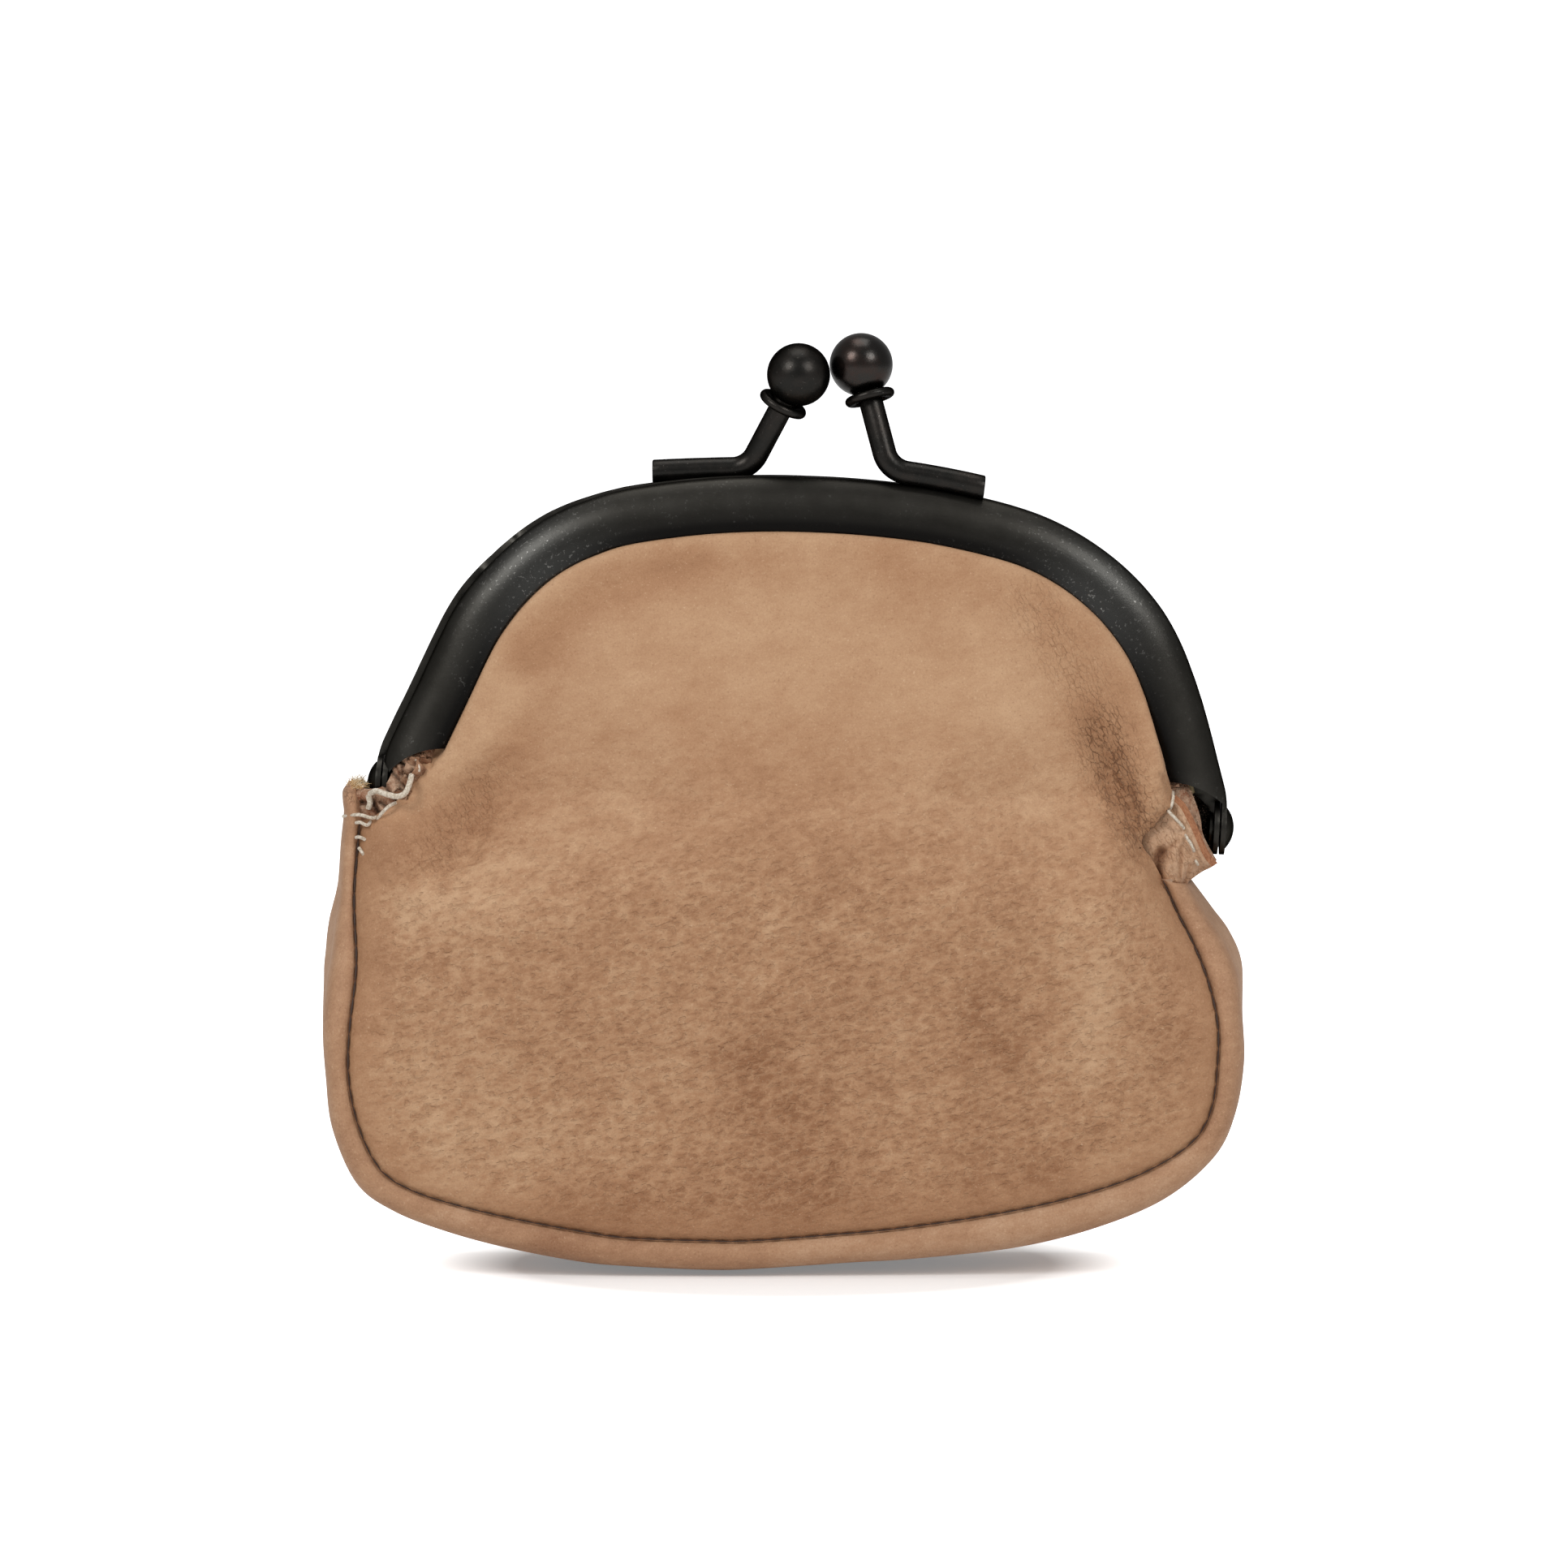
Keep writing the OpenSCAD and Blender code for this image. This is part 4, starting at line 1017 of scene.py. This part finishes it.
# Seam threads: one dark stitch after another lies in each valley between panel and gusset.
dark_thread = Paint("dark waxed thread", Roughness=0.6)
cloud = dark_thread.noise(dark_thread.place(), 3000, 2, 0.6)
dark_thread.set(Base_Color=dark_thread.mix(cloud, rgb(38, 26, 19), rgb(74, 50, 36)))
bpy.ops.mesh.primitive_uv_sphere_add(segments=8, ring_count=6, radius=1)
bead = bpy.context.object
stitch_count, half_stitch, stitch_radius, stitch_sink = 82, 1.05, 0.09, 0.15
stitch = smooth_line(seam, stitch_count + 1)
for side, sign in (("front", -1), ("back", 1)):
    parts = []
    for a, b in zip(stitch[:-1], stitch[1:]):
        start = Vector((a[0], sign * (a[2] - stitch_sink), a[1]))
        end = Vector((b[0], sign * (b[2] - stitch_sink), b[1]))
        run = end - start
        turn = run.to_track_quat("Z", "Y").to_matrix().to_4x4()
        size = Matrix.Diagonal((stitch_radius * 1.4, stitch_radius, half_stitch, 1))
        parts.append(copy_of(bead, "one_stitch", Matrix.Translation((start + end) / 2) @ turn @ size))
    bpy.ops.object.select_all(action="DESELECT")
    for part in parts:
        part.select_set(True)
    bpy.context.view_layer.objects.active = parts[0]
    bpy.ops.object.join()
    thread = bpy.context.object
    thread.name = side + "_seam_thread"
    bpy.ops.object.shade_smooth()
    dress(thread, dark_thread)
    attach(thread, "pouch")
bpy.data.objects.remove(bead)

# Gusset corners: the strip's two ends are gathered under the hinges. On the right it is folded over
# with its cut edge outwards; on the left it is crumpled, and both show the raw flesh side.
raw_edge = Paint("cut leather edge")
cloud = raw_edge.noise(raw_edge.place(), 1900, 4, 0.7)
raw_edge.set(Base_Color=raw_edge.mix(cloud.above(0.36, 0.3), rgb(156, 96, 62), rgb(198, 140, 100)),
             Roughness=0.85, Normal=raw_edge.bump(cloud, 0.0002, 0.7))
suede = Paint("crumpled raw leather")
spot = suede.place()
cloud, nap = suede.noise(spot, 1000, 5, 0.75), suede.noise(spot, 5200, 3, 0.7)
shade = suede.mix(cloud.above(0.36, 0.26), rgb(168, 114, 86), rgb(230, 194, 164))
# Painted shade: the raw leather is painted dark brown where the piece's shade mark is set
shade = suede.mix(suede.mark("painted_shade"), shade, rgb(48, 28, 20))
suede.set(Base_Color=suede.mix(nap.above(0.58, 0.1) * 0.5, shade, rgb(226, 202, 176)), Roughness=0.95,
          Specular_IOR_Level=0.1, Normal=suede.bump(cloud + nap * 0.4, 0.0008, 0.9))


def crumple(x, z, amount):
    waves = np.sin(1.9 * x + 2.6 * z) + np.sin(3.3 * x - 1.4 * z + 1) + np.sin(-2.2 * x + 4.1 * z + 2)
    return amount * waves / 2.2


def corner_piece(name, bottom, top, left, right, swell, crease, curl, paint, rim, thickness, cut_face=0.0):
    """A bit of leather between four edges given as x, z and depth.

    It swells and creases, and curls up along its right edge. There a share of its width, cut_face, is
    the cut through the leather, flat and raw.
    """
    s, t = np.linspace(0, 1, 56), np.linspace(0, 1, 64)
    edges = [smooth_line(line, 40) for line in (bottom, top, left, right)]
    places = patch(*edges, s, t)
    x, z, depth = places[..., 0], places[..., 1], places[..., 2]
    round_off = (1 - np.abs(2 * s - 1) ** 2.5)[None, :] * (1 - np.abs(2 * t - 1) ** 2.5)[:, None]
    depth = depth + swell * round_off + crumple(x, z, crease)
    depth = depth + curl * bell(1 - cut_face - s, 0.1)[None, :] - 0.9 * bell(t, 0.1)[:, None]
    hollow = np.zeros(x.shape)
    for line, width, amount in dimples.get(name, ()):
        near = bell(distance(x, z, line)[0], width)
        depth = depth - amount * near
        hollow = np.maximum(hollow, near * min(1, amount))
    piece, (j, i) = lay(name, np.stack([x, -depth, z], axis=-1))
    # Painted shade darkens each dimple's hollow, through both marks
    paint_mark(piece, "tone_and_shade", (0.4 - 1.6 * hollow)[j, i])
    paint_mark(piece, "painted_shade", (0.7 * hollow)[j, i])
    paint_mark(piece, "pebble", np.full(len(j), 0.25))
    paint_mark(piece, "wrinkle", np.full(len(j), 0.5))
    dress(piece, paint, rim, flesh)
    for polygon in piece.data.polygons:
        if all(s[i[corner]] > 0.999 - cut_face for corner in polygon.vertices):
            polygon.material_index = 1
            polygon.use_smooth = False
    thicken(piece, thickness)
    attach(piece, "pouch")


# Dimples in each bit: places in the front view, half width, and how deep they are; painted shade also
# darkens each dimple's hollow
dimples = {
    "right_fold": [
        ([(40.7, 45.6), (40.2, 44.4), (40.3, 42.8)], 0.6, 1.4),
        ([(41.0, 45.4), (42.4, 46.8)], 0.3, 0.3),
        ([(42.7, 43.0), (42.9, 46.2)], 0.22, 0.35),
        ([(43.8, 44.2), (43.2, 42.2)], 0.22, 0.35),
    ],
    "left_crumple": [
        ([(-43.2, 52.6), (-42.0, 51.2), (-40.9, 51.1)], 0.25, 0.9),
        ([(-42.4, 54.0), (-41.2, 52.9), (-40.0, 52.6)], 0.22, 0.8),
        ([(-41.6, 53.9), (-40.4, 54.0)], 0.16, 0.4),
        ([(-42.2, 55.0), (-41.4, 53.9), (-40.6, 53.2)], 0.16, 0.4),
        ([(-41.9, 53.0), (-41.2, 52.0)], 0.14, 0.4),
        ([(-41.9, 55.4), (-40.8, 54.7), (-39.4, 54.9)], 0.22, 1.0),
        ([(-41.3, 54.6), (-40.9, 53.6)], 0.16, 0.5),
        ([(-45.6, 50.8), (-44.4, 50.6), (-43.6, 49.6)], 0.28, 1.1),
        ([(-43.6, 50.9), (-42.4, 50.2)], 0.2, 0.7),
        ([(-44.6, 52.0), (-44.2, 50.8)], 0.2, 0.7),
    ],
}
corner_piece(
    "right_fold",
    [(40.3, 41.6, 4.6), (41.6, 40.6, 5.2), (42.9, 40.9, 5.4), (43.7, 42.2, 5.1), (45.2, 43.3, 4.4),
     (46.9, 44.2, 3.6)],
    [(37.8, 47.0, 5.0), (39.0, 48.8, 4.6), (40.6, 50.3, 4.2), (42.3, 51.7, 3.4)],
    [(40.3, 41.6, 4.6), (39.4, 43.2, 5.2), (38.6, 45.2, 5.3), (37.8, 47.0, 5.0)],
    [(46.9, 44.2, 3.6), (46.0, 45.4, 3.9), (45.3, 46.8, 4.0), (44.7, 48.2, 4.0), (44.0, 49.6, 3.9),
     (43.3, 50.8, 3.6), (42.3, 51.7, 3.4)],
    swell=0.9, crease=0.05, curl=1.0, paint=gusset_leather, rim=raw_edge, thickness=0.9, cut_face=0.1)
corner_piece(
    "right_lining",
    [(42.5, 42.4, 2.9), (44.4, 43.4, 2.7), (46.9, 44.3, 2.3)],
    [(41.2, 53.6, 2.0), (42.2, 53.6, 2.0), (43.1, 53.5, 1.9)],
    [(42.5, 42.4, 2.9), (40.6, 47.0, 3.2), (41.4, 51.0, 3.0), (41.2, 53.6, 2.0)],
    [(46.9, 44.3, 2.3), (46.0, 45.9, 2.8), (45.3, 47.4, 2.9), (45.1, 48.8, 2.9), (44.8, 50.0, 2.9),
     (44.3, 51.3, 2.8), (43.8, 52.4, 2.5), (43.1, 53.5, 1.9)],
    swell=0.4, crease=0.14, curl=-0.2, paint=suede, rim=raw_edge, thickness=0.25)
corner_piece(
    "left_crumple",
    [(-47.0, 48.2, 3.0), (-45.4, 47.6, 4.2), (-43.6, 47.8, 4.8), (-41.8, 49.4, 4.2)],
    [(-41.7, 57.6, 2.0), (-39.6, 57.8, 2.0), (-37.2, 57.6, 1.9)],
    [(-47.0, 48.2, 3.0), (-46.8, 50.4, 3.0), (-46.2, 52.2, 2.8), (-44.7, 52.3, 3.3), (-43.3, 52.6, 3.4),
     (-42.5, 53.8, 2.8), (-42.1, 55.6, 2.4), (-41.7, 57.6, 2.0)],
    [(-41.8, 49.4, 4.2), (-39.8, 51.8, 3.6), (-38.6, 54.2, 2.8), (-37.2, 57.6, 1.9)],
    swell=0.8, crease=0.18, curl=-0.2, paint=suede, rim=raw_edge, thickness=0.12)

# Hand stitches and fraying: off white thread holds both corners. The gusset's cut end sheds pale
# fibres on the left, and the raw lining sheds suede ones on the right.
pale_thread = Paint("off white thread", Roughness=0.8)
twist = pale_thread.noise(pale_thread.place(), 3800, 3, 0.7)
pale_thread.set(Base_Color=pale_thread.mix(twist.above(0.34, 0.3), rgb(178, 160, 136), rgb(236, 226, 210)),
                Normal=pale_thread.bump(twist, 0.0001, 0.9))


def cords(name, lines, radius, paint, body, taper=False):
    """Round threads through places given as x, z and depth, joined in one mesh."""
    bpy.ops.object.select_all(action="DESELECT")
    bpy.ops.curve.primitive_nurbs_path_add()
    cord = bpy.context.object
    cord.name = name
    cord.data.splines.clear()
    cord.data.bevel_depth = radius * mm
    cord.data.bevel_resolution = 2
    cord.data.use_fill_caps = True
    for line in lines:
        route = smooth_line(line, 5 if taper else 22)
        spline = cord.data.splines.new("POLY")
        spline.points.add(len(route) - 1)
        for k, (point, (x, z, depth)) in enumerate(zip(spline.points, route)):
            point.co = (x * mm, -depth * mm, z * mm, 1)
            point.radius = 1 - 0.7 * k / (len(route) - 1) if taper else 1
    bpy.ops.object.convert(target="MESH")
    piece = bpy.context.object
    bpy.ops.object.shade_smooth()
    piece.data.materials.clear()
    dress(piece, paint)
    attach(piece, body)


cords("left_thick_stitch", [
    [(-44.7, 51.9, 4.8), (-44.0, 52.3, 5.8), (-42.8, 52.0, 6.6), (-41.6, 51.8, 6.9), (-40.8, 52.2, 6.6),
     (-40.4, 53.1, 5.9), (-40.2, 53.9, 4.8)],
    [(-44.9, 51.6, 4.3), (-44.7, 50.9, 4.9), (-44.9, 50.3, 4.7)],
], 0.32, pale_thread, "pouch")
cords("left_fine_stitches", [
    [(-39.9, 55.6, 3.0), (-39.6, 55.3, 4.2), (-39.4, 54.5, 4.7), (-39.6, 54.1, 4.0)],
    [(-47.6, 49.2, 2.0), (-47.6, 49.3, 3.2), (-47.0, 49.5, 4.5), (-45.8, 49.7, 5.6), (-44.5, 49.4, 6.1),
     (-44.0, 49.4, 5.2)],
    [(-43.9, 49.2, 5.4), (-43.4, 49.9, 6.1), (-42.6, 50.7, 6.2), (-41.9, 51.0, 5.6)],
    [(-46.2, 48.8, 5.2), (-45.7, 48.9, 5.9), (-45.0, 48.6, 5.9), (-44.6, 48.9, 5.2)],
    [(-46.2, 47.2, 5.2), (-45.8, 47.3, 5.8), (-45.2, 47.0, 5.6)],
    [(-45.9, 46.1, 5.4), (-45.5, 45.6, 5.8), (-45.3, 45.2, 5.4)],
], 0.19, pale_thread, "pouch")
cords("right_stitches", [
    [(42.0, 52.0, 4.0), (42.0, 51.5, 5.3), (41.8, 50.7, 5.8), (41.6, 50.2, 5.2)],
    [(41.2, 50.3, 5.0), (41.6, 50.0, 6.3), (42.3, 49.3, 6.6), (43.0, 48.5, 6.3), (43.2, 48.1, 5.2)],
    [(43.3, 47.6, 5.2), (43.5, 47.2, 6.2), (43.9, 46.6, 6.1), (44.2, 45.9, 5.9), (44.3, 45.6, 4.8)],
    [(44.3, 45.0, 4.6), (44.5, 44.6, 5.4), (44.7, 44.2, 4.8)],
], 0.17, pale_thread, "pouch")
fibre_paint = Paint("frayed fibres", Roughness=0.9)
spot = fibre_paint.noise(fibre_paint.place(), 900, 2, 0.5)
fibre_paint.set(Base_Color=fibre_paint.mix(spot.above(0.42, 0.2), rgb(206, 168, 118), rgb(244, 228, 196)))
random.seed(4)
frayed_count, suede_count = 150, 60
fray = []
for k in range(frayed_count):
    root_at = strip[0, random.randrange(4, across_count - 4)].copy()
    root_at += np.array([random.uniform(-0.2, 1.0), -0.2, random.uniform(-0.2, 0.2)])
    away = np.array([random.uniform(-0.2, 1.1), random.uniform(-0.1, 0.9), random.uniform(-0.5, 0.6)])
    curl = np.array([random.uniform(-0.5, 0.5), random.uniform(-0.4, 0.4), random.uniform(-0.4, 0.4)])
    fray.append([root_at, root_at + away * 0.6, root_at + away + curl])
for k in range(suede_count):
    t = random.random()
    root_at = np.array([43.7 + 1.2 * t ** 0.8, 52.3 - 4.8 * t, 3.2 - 0.5 * random.random()])
    away = np.array([random.uniform(-0.1, 0.3), random.uniform(-0.3, 0.4), random.uniform(-0.1, 0.3)])
    curl = np.array([random.uniform(-0.2, 0.2), random.uniform(-0.2, 0.2), 0])
    fray.append([root_at, root_at + away * 0.6, root_at + away + curl])
cords("frayed_fibres", fray[:frayed_count], 0.05, fibre_paint, "pouch", taper=True)
cords("suede_fibres", fray[frayed_count:], 0.04, suede, "pouch", taper=True)

# Filler twines: a twisted paper cord in each channel wedges the leather in. Only its ends show.
twine_paint = Paint("paper twine", Roughness=0.9)
twist = twine_paint.noise(twine_paint.place(stretch=(1, 1, 0.4)), 1400, 3, 0.6)
twine_paint.set(Base_Color=twine_paint.mix(twist, rgb(150, 126, 84), rgb(214, 196, 150)),
                Normal=twine_paint.bump(twist, 0.0001, 0.8))
for node in ("front_twine", "back_twine"):
    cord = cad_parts[node]
    cord.data.materials.clear()
    dress(cord, twine_paint)
